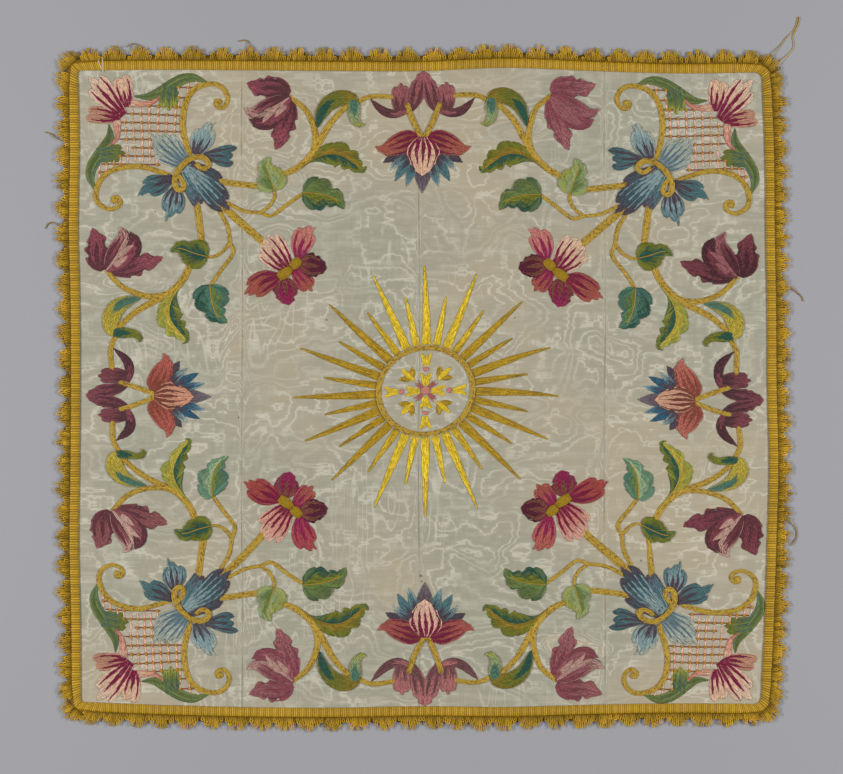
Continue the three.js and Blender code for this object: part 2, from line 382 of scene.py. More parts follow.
def silk_points():
    """The silk's face as a grid, its columns closer together where it is creased."""
    stations = [np.linspace(0.0, 1.0, silk_cells_across + 1)]
    beside = np.linspace(-crease_half_width, crease_half_width, crease_columns)
    for crease in creases:
        stations.append((crease - seen_left + beside) / (seen_right - seen_left))
    columns = np.unique(np.concatenate(stations))
    columns = columns[np.append(True, np.diff(columns) > least_cell)]
    u = columns[:, None] * np.ones((1, silk_cells_along + 1))
    v = np.linspace(0.0, 1.0, silk_cells_along + 1)[None, :] * np.ones((len(columns), 1))
    x, y = spread_silk(u, v, silk_under_edging)
    return np.stack([x, y, silk_top(x, y)], axis=-1)


def closed_cushion(face, under):
    """A grid of points as a face, its rim turned down to an underside at the height that under gives."""
    rows, columns = face.shape[:2]
    number = np.arange(rows * columns).reshape(rows, columns)
    quads = np.stack([number[:-1, :-1], number[1:, :-1], number[1:, 1:], number[:-1, 1:]], axis=-1)
    rim = np.concatenate([number[:, 0], number[-1, 1:], number[-2::-1, -1], number[0, -2:0:-1]])
    points = face.reshape(-1, 3)
    foot = points[rim].copy()
    foot[:, 2] = under(foot)
    below = np.arange(len(rim)) + len(points)
    hem = np.stack([np.roll(rim, -1), rim, below, np.roll(below, -1)], axis=-1)
    faces = quads.reshape(-1, 4).tolist() + hem.tolist() + [below[::-1].tolist()]
    return np.vstack([points, foot]), faces


def watered_silk_finish():
    """Pale grey-green ribbed silk: the watering is the contour lines of two slow noises, painted into the
    colour as sheen on the lines and duller silk between them.
    """
    finish = Finish("watered_silk")

    def about_half(noise, size):
        return finish.maths("MULTIPLY", finish.maths("SUBTRACT", noise, 0.5), size)

    def contours(field, count):
        return finish.maths("PINGPONG", finish.maths("MULTIPLY", field, count), 0.5)

    broad = finish.noise((0.013, 0.020), detail=1.6, warp=0.6)
    jagged = about_half(finish.noise((0.03, 0.3)), 0.1)
    squared = about_half(finish.noise((0.22, 0.02), (7.0, 5.0), detail=1.0), 0.065)
    loops = contours(finish.maths("ADD", finish.maths("ADD", broad, jagged), squared), 11.5)
    bars = contours(finish.noise((0.042, 0.006), (5.0, 3.0), detail=1.2, warp=0.3), 12.0)
    barred = finish.ramp(finish.noise((0.007, 0.007), (9.0, 1.0), detail=1.0), 0.54, 0.62)
    bar_lines = finish.maths("MULTIPLY", finish.ramp(bars, 0.38, 0.48, 0.0, 0.8), barred)
    strength = finish.ramp(finish.noise((0.02, 0.03), (2.0, 7.0)), 0.36, 0.58, 0.25, 1.0)
    lines = finish.maths("ADD", finish.ramp(loops, 0.32, 0.49), bar_lines, clamp=True)
    lines = finish.maths("MULTIPLY", lines, strength)
    dull = finish.ramp(loops, 0.02, 0.28, 1.0, 0.0)
    ribs = finish.noise((0.03, 2.2), (1.0, 4.0), detail=1.0)
    slubs = finish.noise((0.025, 0.8))
    streaks = finish.noise((0.02, 0.16), (3.0, 2.0), detail=3.0)
    age = finish.noise((0.007, 0.007), (4.0, 8.0), detail=3.0)

    # The watering's lines and the long streaks are painted sheen, mixed towards the lighter colour; the
    # darker bands between the lines are painted duller silk.
    silk, painted_sheen, dulled = dyed(166, 162, 144), dyed(208, 203, 184), dyed(154, 150, 130)
    colour = finish.mixed(finish.maths("MULTIPLY", dull, 0.6), silk, dulled)
    colour = finish.mixed(finish.ramp(age, 0.42, 0.66, 0.0, 0.75), colour, dyed(180, 165, 138))
    colour = finish.mixed(finish.ramp(streaks, 0.48, 0.72, 0.0, 0.22), colour, painted_sheen)
    colour = finish.mixed(finish.maths("MULTIPLY", lines, 0.72), colour, painted_sheen)
    colour = finish.mixed(finish.ramp(slubs, 0.4, 0.7, 0.0, 0.2), colour, dulled)
    where = finish.node("ShaderNodeSeparateXYZ")
    finish.feed(where.inputs[0], finish.place())
    across, up = where.outputs["X"], where.outputs["Y"]
    for crease in creases:
        wave = finish.maths("SINE", finish.maths("DIVIDE", up, wander_length))
        off = finish.maths("SUBTRACT", across, crease + float(laid_out[0]))
        off = finish.maths("SUBTRACT", off, finish.maths("MULTIPLY", wave, crease_wander))
        # Each crease is a thin dark line along its fold, broken by noise: partly wear of the fold, partly
        # painted shade of the crease.
        worn = finish.ramp(finish.noise((0.2, 0.03), (crease, 0.0)), 0.35, 0.7, 0.1, 0.6)
        line = finish.ramp(finish.maths("ABSOLUTE", off), 0.2, 0.9, 1.0, 0.0)
        colour = finish.mixed(finish.maths("MULTIPLY", line, worn), colour, dyed(118, 104, 82))
    for spot_across, spot_up, size, dark in spots:
        beside, above = finish.maths("SUBTRACT", across, spot_across), finish.maths("SUBTRACT", up, spot_up)
        beside, above = finish.maths("MULTIPLY", beside, beside), finish.maths("MULTIPLY", above, above)
        mark = finish.ramp(finish.maths("ADD", beside, above), 0.3 * size**2, size**2, dark, 0.0)
        colour = finish.mixed(mark, colour, dyed(88, 66, 44))
    rough = finish.maths("SUBTRACT", 0.55, finish.maths("MULTIPLY", lines, 0.12))
    relief = finish.maths("ADD", finish.maths("MULTIPLY", ribs, 0.8), finish.maths("MULTIPLY", slubs, 0.7))
    return finish.surfaced(colour, rough, sheen=0.1, specular=0.35, relief=(relief, 0.5, 0.0001))


points, faces = closed_cushion(silk_points(), lambda rim: 0.0)
silk = new_piece("silk_ground_cloth", points, faces, watered_silk_finish())
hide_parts("silk_ground")


# How the embroidery is set out and sewn
# The design is drawn once for half a quarter of the veil, then pounced on eight times over, turned for the
# sides. Every shape is padded with a low bed of floss, coloured darker than its stitches as painted shade in
# the gaps between them, and covered with stitches.
design_half_wide, design_half_high = 275.5, 254.4
line_points, width_points, least_width = 61, 81, 0.15
quarter_turn = np.array([[0.0, 1.0], [-1.0, 0.0]])
petal_pad, leaf_pad = 0.45, 0.4
stitch_start, stitch_shoulder, stitch_sunk = 0.04, 0.8, 0.06  # shares of its length, and its end's depth
stitch_fullness = 0.6  # a stitch's half width, as a share of how far apart the stitches lie
stitch_rng = np.random.default_rng(31)
strays = np.array([  # a place, across and up, and how far the sewing strays there from a true mirror
    (-200, 170, 0, 0), (-240, 150, 2, 0), (-255, 240, -1, 0), (-185, 245, 3, -1.5), (-105, 215, 0, 0),
    (-110, 100, 0, 0), (-235, 105, 0, 0), (-235, 42, 2, -4.5), (-180, 55, 1, -3), (-238, 0, 1, -7.2),
    (-185, 0, 1, -7.8), (-225, -43, 4, -10), (-238, -62, 5, -5), (-180, -52, 1, -1.5), (-190, -90, 5, -5),
    (-238, -105, 5, -6.5), (-190, -118, 4, -4), (-155, -75, -1, 3), (-185, -125, 2, 0), (-200, -175, 0, 0),
    (-250, -160, 4, -1), (-258, -235, 3, -3), (-165, -238, 1, 1), (-112, -98, 0, 2), (-100, -165, 0, 0),
    (-105, -225, 1, 0), (-60, -225, 3, -1), (0, -250, 4, 0), (0, -203, 3, 2.5), (0, -168, 1, 2),
    (60, -225, 3.3, 0), (100, -155, 3.3, 0), (110, -225, 4, -1), (112, -98, 1, 2), (150, -190, 1, 0),
    (165, -238, 6, -1), (195, -170, 4, -4), (250, -160, 4, -4), (255, -240, 2, -2), (165, -125, 5, -1),
    (145, -75, 3, 2), (240, -108, 1, -8.5), (195, -118, 0, -6.5), (190, -90, -2, -7), (238, -62, -1, -8),
    (180, -52, -1, -2.5), (235, -43, -1, -12), (240, 0, 0, -11), (190, 0, -1, -8.6), (235, 43, -2, -6.5),
    (180, 53, -1, -7), (240, 105, -1.5, -3.6), (195, 112, -2, -2.7), (175, 125, 0, -3), (140, 75, 1, -5),
    (190, 170, 1, -3), (150, 150, -1, -4), (250, 150, -1, -1), (255, 240, 2, -1), (165, 242, 1.5, -1),
    (112, 98, 0, -2), (105, 225, 0, 0), (60, 225, 0, -1.5), (0, 250, 2, 0), (0, 203, 1, 0),
    (-60, 225, 2, -1), (0, 0, 0, 0), (70, 0, 0, 0), (-70, 0, 0, 0), (0, 70, 0, 0), (0, -70, 0, 0),
    (60, 60, 0, 0), (-60, 60, 0, 0), (60, -60, 0, 0), (-60, -60, 0, 0),
])


def strayed(across, up):
    """Where a place of the drawing was really sewn: each row of the table draws what lies near it."""
    apart = (across[:, None] - strays[:, 0]) ** 2 + (up[:, None] - strays[:, 1]) ** 2
    weight = 1.0 / (apart + 80.0) ** 2
    weight /= weight.sum(axis=1)[:, None]
    return across + weight @ strays[:, 2], up + weight @ strays[:, 3]


def on_silk(design, lift):
    """Points of the design, across and up from the veil's middle, set at a lift over the silk's face."""
    across, up = strayed(design[:, 0], design[:, 1])
    by_hand = 0.8 * np.sin(up / 31.0 + across / 57.0), 0.8 * np.sin(across / 37.0 - up / 49.0)
    u = (1 + (across + by_hand[0]) / design_half_wide) / 2
    v = (1 + (up + by_hand[1]) / design_half_high) / 2
    x, y = spread_silk(u, v, 0.0)
    return np.column_stack([x, y, silk_top(x, y) + lift])


def setting(quarter, turned=False):
    """How half a quarter's drawing goes on: which quarter, as signs across and up, and turned or not."""

    def set_out(drawn):
        out, up = drawn[:, 0], drawn[:, 1]
        if turned:
            out, up = 1.05 * up + 6.9, 0.93 * out - 3.5 * np.clip(out / 40.0, -1.0, 1.0)
        return np.column_stack([quarter[0] * out, quarter[1] * up])

    return set_out


class Work:
    """Stitches and padding gathered for one piece of embroidery."""

    def __init__(self):
        self.stitches, self.padding, self.pad_colours = [], Gathered(), []

    def stitch(self, start, end, lifts, size, colour):
        """start and end are on the design, lifts over the silk at each, size is half width and height."""
        self.stitches.append((start, end, lifts, size, colour))

    def pad(self, grid, lifts, colour):
        """A bed under the stitches: a grid of design points with its lifts, closed down to the silk."""
        face = on_silk(grid.reshape(-1, 2), lifts.ravel()).reshape(*lifts.shape, 3)
        points, faces = closed_cushion(face, lambda rim: silk_top(rim[:, 0], rim[:, 1]) - 0.1)
        self.padding.add(points, faces)
        self.pad_colours.append(np.tile(colour, (len(points), 1)))

    def tack(self, place, start, end, lift, size, colour):
        """A level stitch between two places of the drawing."""
        self.stitch(*place(np.array([start, end])), np.array([lift, lift]), size, colour)

    def sew(self, name, material):
        """One mesh of the padding and the stitches. Each stitch is a ridged dart with a blunt start."""
        starts, ends, lifts, sizes, dyes = (np.array(column) for column in zip(*self.stitches))
        start, end = on_silk(starts, lifts[:, 0]), on_silk(ends, lifts[:, 1])
        way = (end - start)[:, :2]
        way /= np.linalg.norm(way, axis=1)[:, None] + 1e-9
        flank = np.column_stack([-way[:, 1], way[:, 0], np.zeros(len(way))]) * sizes[:, :1]
        ridge = np.column_stack([np.zeros((len(way), 2)), sizes[:, 1]])
        near, far = start + stitch_start * (end - start), start + stitch_shoulder * (end - start)
        corners = [near + 0.8 * flank, near + 0.6 * ridge, near - 0.8 * flank]
        corners += [far + flank, far + ridge, far - flank, end - np.array([0.0, 0.0, stitch_sunk])]
        stitches = np.stack(corners, axis=1)
        first = (np.arange(len(stitches)) * len(corners))[:, None]
        tips = [(0, 2, 1), (6, 3, 4), (6, 4, 5), (6, 5, 3)]
        flanks = [(0, 1, 4, 3), (1, 2, 5, 4), (2, 0, 3, 5)]
        faces = []
        for face in tips + flanks:
            faces += (first + np.array(face)).tolist()
        self.padding.add(stitches.reshape(-1, 3), faces)
        colours = np.vstack([*self.pad_colours, np.repeat(dyes, len(corners), axis=0)])
        points = np.vstack(self.padding.points)
        return new_piece(name, points, self.padding.faces, material, np.clip(colours, 0.0, 1.0))


def floss_finish(name, roughness):
    """Stranded silk: each stitch has its own dye lot, and fine filaments break the shine."""
    finish = Finish(name)
    strands = finish.noise(2.6)
    dye = finish.thread_dye(finish.ramp(strands, 0.3, 0.7, 0.78, 1.14))
    rough = finish.ramp(strands, 0.2, 0.8, roughness - 0.07, roughness + 0.1)
    return finish.surfaced(dye, rough, sheen=0.05, specular=0.35, relief=(strands, 0.25, 0.00006))


coloured_floss = floss_finish("coloured_floss", 0.5)
gold_thread = floss_finish("gold_thread", 0.42)


class Shape:
    """A padded shape about a curved line: s runs from side to side, -1 to 1, and t along it, 0 to 1."""

    def __init__(self, middle, half_widths, fingers=(1.0,), notch=0.0):
        self.line = smooth_line(middle, line_points)
        self.along = np.linspace(0.0, 1.0, line_points)
        self.length = float(run_of(self.line)[-1])
        self.normals = way_along(self.line) @ quarter_turn
        stations = np.linspace(0.0, 1.0, len(half_widths))
        smooth = smooth_line(np.column_stack([stations, half_widths]), width_points)
        self.widths = np.maximum(np.interp(self.along, smooth[:, 0], smooth[:, 1]), least_width)
        self.fingers, self.notch = np.array(fingers), notch

    def half_width(self, t):
        return np.interp(t, self.along, self.widths)

    def reach(self, s):
        """How far along the shape runs at s: its end is cut into fingers."""
        place = np.clip((np.asarray(s) + 1) / 2, 0.0, 0.9999) * len(self.fingers)
        finger = place.astype(int)
        sloped = np.interp(place - 0.5, np.arange(len(self.fingers)), self.fingers)
        cut = self.notch * np.abs(2 * (place - finger) - 1) ** 2.2
        return 0.4 * self.fingers[finger] + 0.6 * sloped - cut

    def at(self, s, t):
        aside = np.asarray(s) * self.half_width(t)
        lines = zip(self.line.T, self.normals.T)
        return np.stack(
            [np.interp(t, self.along, a) + np.interp(t, self.along, n) * aside for a, n in lines], axis=-1,
        )

    def bed(self, work, set_out, s, t, lift, height, colour):
        """Pads the shape: its places at s and t, just under where its stitches will lie."""
        grid = set_out(self.at(s, t).reshape(-1, 2)).reshape(*s.shape, 2)
        work.pad(grid, lift - 0.05 + self.dome(s, t, height), colour)

    def dome(self, s, t, height):
        """Height of the padding, rounded off at every edge."""
        inside = np.clip(1 - np.abs(s) ** 2.4, 0.0, 1.0) ** 0.5
        ends = np.clip(np.minimum(t / 0.08 + 0.3, (self.reach(s) - t) / 0.08 + 0.1), 0.0, 1.0)
        return height * inside * ends


def lobed(place, lobes, depth, start):
    """The share of its width that an edge keeps where it is cut into round lobes, from start to its tip."""
    phase = np.clip((place - start) / (1 - start), 0.0, 1.0) * lobes
    return np.where(place < start, 1.0, 1 - depth * (1 - np.abs(np.sin(math.pi * phase)) ** 1.1))


stitch_overlap, stitch_step, least_stitch = 1.15, (0.85, 1.1), 0.15  # shares of a stitch's length
root_fades, rim_comes, side_pales = (0.08, 0.42), (0.62, 0.92), (0.8, 1.0)  # shares of a petal
golden_share = 0.618  # spreads the rows that stop early evenly over a petal


def petal(work, set_out, middle, half_widths, fingers, dyes, streaks=None, lift=0.1, notch=0.15, pitch=0.62,
          stitch_length=6.0, mottle=0.11, lip=None, lobes=None):
    """A petal in long and short stitch, its rows running from root to rim. dyes are root, body and rim;
    streaks are how many, of what colour, and how far along they run; lip is a dye, and the side it is on;
    lobes are how many, how deep, from where on, and the side they are on, or 0 for both."""
    shape = Shape(middle, half_widths, fingers, notch)
    root, body, rim = dyes

    def kept(s, t):
        if lobes is None:
            return 1.0
        count, depth, start, side = lobes
        return np.where(np.asarray(s) * side < 0, 1.0, lobed(t, count, depth, start))

    s = np.linspace(-1.0, 1.0, max(9, 4 * len(fingers) + 1))[:, None]
    spacing, shrunk = (3.4, 1.0) if lobes is None else (1.4, 0.99)
    t = np.linspace(0.0, 1.0, max(6, int(shape.length / spacing)))[None, :] * shape.reach(s)
    s = s * kept(s, t) * shrunk + 0 * t
    # The padding is the body's dye at half strength: painted shade showing in the gaps between stitches.
    shape.bed(work, set_out, s, t, lift, petal_pad, body * 0.5)
    widest = float(shape.widths.max())
    rows = max(3, int(2 * widest / pitch))
    step = stitch_length / shape.length
    for row in range(rows):
        s = -1 + (2 * row + 1) / rows
        reach = float(shape.reach(s)) + 0.12 * step * stitch_rng.random()
        reach = min(reach, 1.0)
        t = -step * stitch_rng.random()
        while t < reach:
            low, high = max(t, 0.0), min(t + step * stitch_overlap, reach)
            t += step * stitch_rng.uniform(*stitch_step)
            if high - low < least_stitch * step:
                continue
            mid = (low + high) / 2
            crowd = float(shape.half_width(mid)) / widest
            if (row * golden_share) % 1.0 > crowd * 1.1 + 0.12:
                continue
            if lobes is not None:
                stops = np.linspace(low, high, 7)
                inside = stops[abs(s) <= kept(s, stops)]
                if len(inside) < 3:
                    continue
                low, high = inside[0], inside[-1]
            ease = s + stitch_rng.normal(0.0, 0.25 / rows)
            ends = set_out(shape.at(np.array([ease, ease]), np.array([low, high])))
            along = mid / reach + stitch_rng.normal(0.0, 0.09)
            if along < 0.45:
                colour = root + (body - root) * smooth_share(along, *root_fades)
            else:
                colour = body + (rim - body) * smooth_share(along, *rim_comes)
            colour = colour + (rim - colour) * 0.7 * smooth_share(abs(s), *side_pales)
            if streaks is not None:
                count, streak, streak_reach = streaks
                phase = ((s + 1) / 2 * count) % 1.0
                uneven = 0.85 + 0.3 * math.sin(2.6 * count * s + 3.0) ** 2
                limit = streak_reach * float(shape.reach(s)) * uneven
                if mid < limit and abs(phase - 0.5) < 0.44 * (1 - mid / limit) + 0.04:
                    colour = streak
            if lip is not None and s * lip[1] > 0.3 + 0.2 * stitch_rng.random():
                colour = lip[0]
            colour = colour * stitch_rng.normal(1.0, mottle)
            lifts = lift + shape.dome(s, np.array([low, high]), petal_pad)
            work.stitch(*ends, lifts, (pitch * stitch_fullness, 0.22), colour)


def leaf(work, set_out, middle, half_widths, dyes, vein=None, lobes=3, lobed_from=0.0, depth=0.3, slant=0.8,
         lift=0.1, pitch=0.66, stitch_length=5.0):
    """A leaf in slanting stitches from vein to lobed edge. dyes are inner and outer for either half."""
    shape = Shape(middle, half_widths)

    def edge(root):
        return lobed(root, lobes, depth, lobed_from)

    def lean(t):
        return slant * shape.half_width(t) / shape.length

    s = np.linspace(-1.0, 1.0, 9)[:, None]
    t = np.linspace(0.0, 1.0, 10 * lobes + 6)[None, :] + 0 * s
    s = s * 0.93 * edge(t - lean(t) * np.abs(s))
    # The padding is darker than the outer floss: painted shade showing in the gaps between stitches.
    shape.bed(work, set_out, s, t, lift, leaf_pad, (dyes[1] + dyes[3]) * 0.42)
    rows = max(4, int(shape.length / pitch))
    before = int(rows * lean(0.0)) + 1
    for half, inner, outer in ((-1, dyes[0], dyes[1]), (1, dyes[2], dyes[3])):
        for row in range(-before, rows):
            root = (row + 0.5) / rows
            far = float(edge(root))
            on_vein = min(max(root, 0.0), 1.0)
            run, wide = float(lean(on_vein)), float(shape.half_width(on_vein))
            count = max(1, round(wide * math.hypot(1.0, slant) / stitch_length))
            for k in range(count):
                low = max((k - 0.15 * stitch_rng.random()) / count, 0.0)
                high = (k + 1.0 + 0.12 * stitch_rng.random()) / count
                low = max(low, -root / run if root < 0.0 else 0.0)
                if high - low < 0.2 / count:
                    continue
                t = np.minimum(np.array([root + run * low, root + run * high]), 1.0)
                s = half * far * np.array([low, min(high, 1.03)])
                ends = set_out(shape.at(s, t))
                share = smooth_share((low + high) / 2 + stitch_rng.normal(0.0, 0.1), 0.3, 0.8)
                colour = (inner + (outer - inner) * share) * stitch_rng.normal(1.0, 0.11)
                lifts = lift + shape.dome(s, t, leaf_pad)
                work.stitch(*ends, lifts, (pitch * stitch_fullness, 0.2), colour)
    if vein is not None:
        line = shape.at(np.zeros(24), np.linspace(0.0, 0.8, 24))
        for k in range(0, 21, 2):
            work.tack(set_out, line[k], line[k + 3], lift + 0.5, (0.5, 0.25), vein)


# Stems, scrolls and knots in gold thread
# Laid silk thread the colour of old gold, worked over a cord in lanes of short stitches, three to seven of
# them by the band's width, that lean against one another like a plait.
gold_bright, gold_mid, gold_deep = dyed(214, 180, 70), dyed(180, 142, 38), dyed(120, 88, 16)


def gold_band(work, set_out, middle, half_widths, lift=0.15, high=0.7, lanes=4, pitch=1.25, dyes=None):
    shape = Shape(middle, half_widths)
    bright, mid, deep = dyes or (gold_bright, gold_mid, gold_deep)
    s = np.linspace(-1.0, 1.0, 5)[:, None]
    t = np.linspace(0.0, 1.0, max(5, int(shape.length / 2.4)))[None, :] + 0 * s
    # The padding is darker than the mid gold: painted shade showing in the gaps between stitches.
    shape.bed(work, set_out, s + 0 * t, t, lift, high, (deep + mid) * 0.6)
    steps = max(2, int(shape.length / pitch))
    span = 1.0 / lanes
    for lane in range(lanes):
        centre = -1 + (2 * lane + 1) / lanes
        lean = 0.75 * span * (1 if lane % 2 else -1)
        for k in range(steps):
            low = (k + 0.5 * (lane % 2)) / steps
            top = min(low + 1.9 * pitch / shape.length, 1.0)
            if top - low < 0.3 * pitch / shape.length:
                continue
            s = np.array([centre - lean, centre + lean])
            t = np.array([low, top])
            ends = set_out(shape.at(s, t))
            mix = stitch_rng.random()
            colour = mid + (bright - mid) * mix if mix > 0.16 else (deep + mid) / 2
            lifts = lift + shape.dome(s, t, high)
            width = 0.78 * float(shape.half_width(low)) / lanes
            work.stitch(*ends, lifts, (min(width, 0.75), 0.2), colour)


diagonal_stem = [(164.0, 149.5), (146.0, 133.2), (127.0, 116.0)]
stems = [  # middle line, half widths, lift over the silk, lanes
    ([(186.7, 186.5), (192.8, 206.4), (193.2, 220.4), (189.6, 233.2), (181.6, 241.5), (169.8, 244.6),
      (161.6, 242.0), (156.8, 234.2), (159.2, 227.2), (164.0, 225.5), (167.7, 229.2), (166.0, 232.4),
      (163.6, 230.6)], [1.9, 2.1, 2.3, 2.3, 2.2, 2.1, 1.9, 1.8, 1.6, 1.4], 0.15, 4),
    ([(161.8, 229.6), (164.2, 230.4), (166.6, 231.2)], [1.7, 2.6, 1.7], 0.3, 4),
    ([(165.0, 166.4), (145.0, 164.0), (130.0, 162.8), (118.0, 166.0)], [2.4, 2.4, 2.3], 0.15, 4),
    ([(117.0, 168.5), (112.0, 171.2), (99.2, 177.2), (88.0, 188.4), (85.0, 201.2), (87.2, 212.7),
      (92.8, 223.9), (105.2, 234.2)], [2.1, 2.5, 2.3, 2.2, 2.0, 1.8], 0.15, 4),
    ([(96.0, 180.0), (88.5, 187.6), (83.2, 195.6), (73.6, 214.0), (62.4, 226.0), (56.0, 229.4)],
     [1.4, 2.4, 2.2, 1.9], 0.15, 4),
    ([(53.0, 230.0), (47.0, 233.2), (40.0, 234.6), (30.0, 234.0), (22.0, 233.0)], [1.9, 1.9, 1.8], 0.15, 4),
    ([(158.0, 149.6), (144.0, 142.8), (129.8, 140.8), (121.0, 138.4), (106.8, 148.4), (95.5, 155.9)],
     [1.5, 1.4, 1.4], 0.15, 3),
    ([(131.0, 140.8), (123.2, 146.0), (118.6, 153.6), (119.0, 159.0)], [1.3, 1.3, 1.2], 0.15, 3),
    ([(13.4, 228.0), (9.2, 216.6), (4.4, 206.4), (0.8, 199.6)], [2.1, 2.1, 2.0], 0.5, 4),
]

quarters = [(-1, 1), (1, 1), (-1, -1), (1, -1)]
gold_work = Work()
for quarter in quarters:
    gold_band(gold_work, setting(quarter), diagonal_stem, [3.0, 3.0, 2.9], lift=0.1, lanes=5)
    for turned in (False, True):
        for middle, half_widths, lift, lanes in stems:
            gold_band(gold_work, setting(quarter, turned), middle, half_widths, lift, lanes=lanes)


# Lattices
# In each corner, bars of brown-pink floss and dashes of pale pink cross in a net about 7 mm wide, and a
# small gold knot ties every crossing.
bar_dye, dash_dye, knot_dye = dyed(152, 78, 70), dyed(242, 186, 166), dyed(186, 132, 18)
lattice_bars = [  # up, and the bar's two ends across
    (241.2, 184.0, 196.5), (233.0, 190.5, 197.5), (225.4, 195.2, 232.0), (218.5, 194.5, 237.6),
    (211.6, 194.5, 241.6), (205.0, 194.5, 242.4), (198.2, 219.0, 244.0), (191.4, 216.0, 235.0),
    (184.8, 216.0, 244.8), (178.2, 211.2, 259.6), (171.8, 254.8, 261.6),
]
lattice_dashes = [  # across, and the line's two ends up
    (261.2, 165.0, 178.0), (255.6, 172.0, 180.4), (249.8, 176.4, 182.8), (244.4, 178.6, 185.0),
    (238.2, 179.6, 216.4), (232.0, 179.6, 222.8), (225.6, 179.6, 224.4), (219.4, 179.6, 225.2),
    (213.4, 178.4, 186.0), (212.8, 204.4, 225.2), (206.2, 204.8, 219.6), (199.6, 204.4, 225.0),
    (197.0, 225.0, 243.0), (189.2, 237.0, 246.6), (182.6, 243.4, 247.0),
]
lattice_work = Work()
for quarter in quarters:
    place = setting(quarter)
    for up, inner, outer in lattice_bars:
        for start in np.arange(inner, outer, 4.0):
            dye = bar_dye * stitch_rng.normal(1.0, 0.1)
            end = min(start + 4.4, outer)
            lattice_work.tack(place, (start - 0.4, up), (end, up), 0.2, (0.62, 0.32), dye)
    for across, low, high in lattice_dashes:
        count = max(1, round((high - low) / 6.8))
        for k in range(count):
            start, end = low + (high - low) * k / count, low + (high - low) * (k + 0.9) / count
            for side in (across - 0.25, across + 0.25):
                dye = dash_dye * stitch_rng.normal(1.0, 0.06)
                lattice_work.tack(place, (side + 0.5, start), (side - 0.5, end), 0.3, (0.5, 0.34), dye)
    for up, inner, outer in lattice_bars:
        for across, low, high in lattice_dashes:
            if inner - 1 <= across <= outer + 1 and low - 1 <= up <= high + 1:
                for arm in ((1.4, 0.3), (-0.3, 1.3), (1.0, -0.9)):
                    start, end = np.subtract((across, up), arm), np.add((across, up), arm)
                    lattice_work.tack(place, start, end, 0.5, (0.85, 0.45), knot_dye)
lattice_work.sew("corner_lattices", coloured_floss)


# Corner sprays
# In each corner a lily of peach and crimson floss grows out of the lattice, with a pink calyx and a curling
# green leaf at either side, and blue leaves fan out round the gold knot.
peach, blush, tan = dyed(226, 186, 156), dyed(218, 152, 130), dyed(204, 150, 122)
crimson, wine = dyed(128, 6, 58), dyed(90, 8, 40)
leaf_green, moss, lime = dyed(110, 124, 66), dyed(86, 102, 50), dyed(166, 166, 66)
sea_green, olive = dyed(86, 110, 84), dyed(118, 122, 28)
slate, sky, mist = dyed(98, 124, 134), dyed(138, 164, 166), dyed(178, 184, 170)
teal, deep_teal, plum = dyed(82, 120, 124), dyed(66, 98, 106), dyed(82, 68, 78)

blue_leaves = [  # middle line, half widths, fingers, root, body and rim, streaks, lift
    ([(191.5, 180.5), (205.5, 191.5), (219.0, 204.6)], [6.0, 10.0, 12.6, 13.0, 10.0],
     (0.58, 0.76, 1.0, 0.86, 0.78, 0.62), (slate, mist, mist), (6, slate, 0.85), 0.5),
    ([(182.3, 187.0), (176.8, 200.3), (173.1, 211.4), (166.4, 214.8)], [3.0, 8.0, 9.4, 7.0, 2.4],
     (0.62, 0.86, 1.0, 0.72), (plum, sky, mist), (3, plum, 0.6), 0.4),
    ([(175.4, 187.0), (165.8, 186.6), (156.6, 186.6), (148.0, 188.2)], [1.5, 5.0, 8.2, 9.0, 7.6],
     (1.0, 0.84, 0.8), (plum, teal, deep_teal), (3, plum, 0.9), 0.4),
    ([(200.7, 169.1), (210.8, 163.2), (221.8, 159.9), (230.0, 152.8)], [1.6, 6.5, 8.6, 7.2, 2.6],
     (0.7, 0.92, 1.0, 0.72), (plum, teal, teal), (3, plum, 0.8), 0.4),
    ([(197.9, 160.9), (199.7, 150.8), (201.6, 143.4), (205.8, 133.4)], [3.0, 8.4, 9.4, 7.2, 2.6],
     (0.66, 0.84, 1.0, 0.74), (plum, sky, teal), (4, plum, 0.75), 0.4),
    ([(192.4, 172.8), (185.0, 159.9), (178.6, 145.2)], [2.2, 5.2, 6.4, 5.6, 4.0],
     (0.92, 1.0), (mist, slate, plum), (3, teal, 0.8), 0.5),
    ([(186.9, 180.1), (173.1, 171.9), (158.9, 165.4)], [2.2, 4.8, 6.2, 5.8, 4.4],
     (0.88, 1.0), (mist, deep_teal, plum), (3, plum, 0.9), 0.5),
    ([(190.6, 176.5), (173.1, 161.8), (154.3, 142.0)], [2.8, 6.8, 9.4, 9.8, 6.0],
     (0.82, 1.0, 0.9), (mist, deep_teal, plum), (5, sky, 0.85), 0.6),
]
corner_knot = [
    (182.4, 180.0), (176.8, 176.0), (172.0, 178.0), (172.8, 182.8), (178.4, 185.4), (185.6, 184.0),
    (192.0, 179.2), (196.8, 173.6), (199.2, 166.8), (198.0, 160.4), (194.4, 158.2), (191.2, 161.6),
    (193.2, 166.8), (196.4, 170.4),
]
acanthus_back = [
    (229.6, 232.5), (219.9, 232.5), (210.8, 236.6), (201.6, 243.1), (193.3, 247.6), (184.1, 249.0),
    (173.1, 245.5),
]
acanthus_lobes = [(203.0, 243.0), (204.6, 233.0), (204.8, 222.0)]
calyx = [(234.4, 226.4), (227.3, 226.5), (219.0, 227.0), (213.5, 230.7), (211.0, 234.4)]
small_lily_petal = [(235.1, 223.8), (237.4, 236.2), (239.2, 249.4)]
large_lily_petal = [(238.6, 217.2), (252.4, 233.6), (265.4, 248.8)]

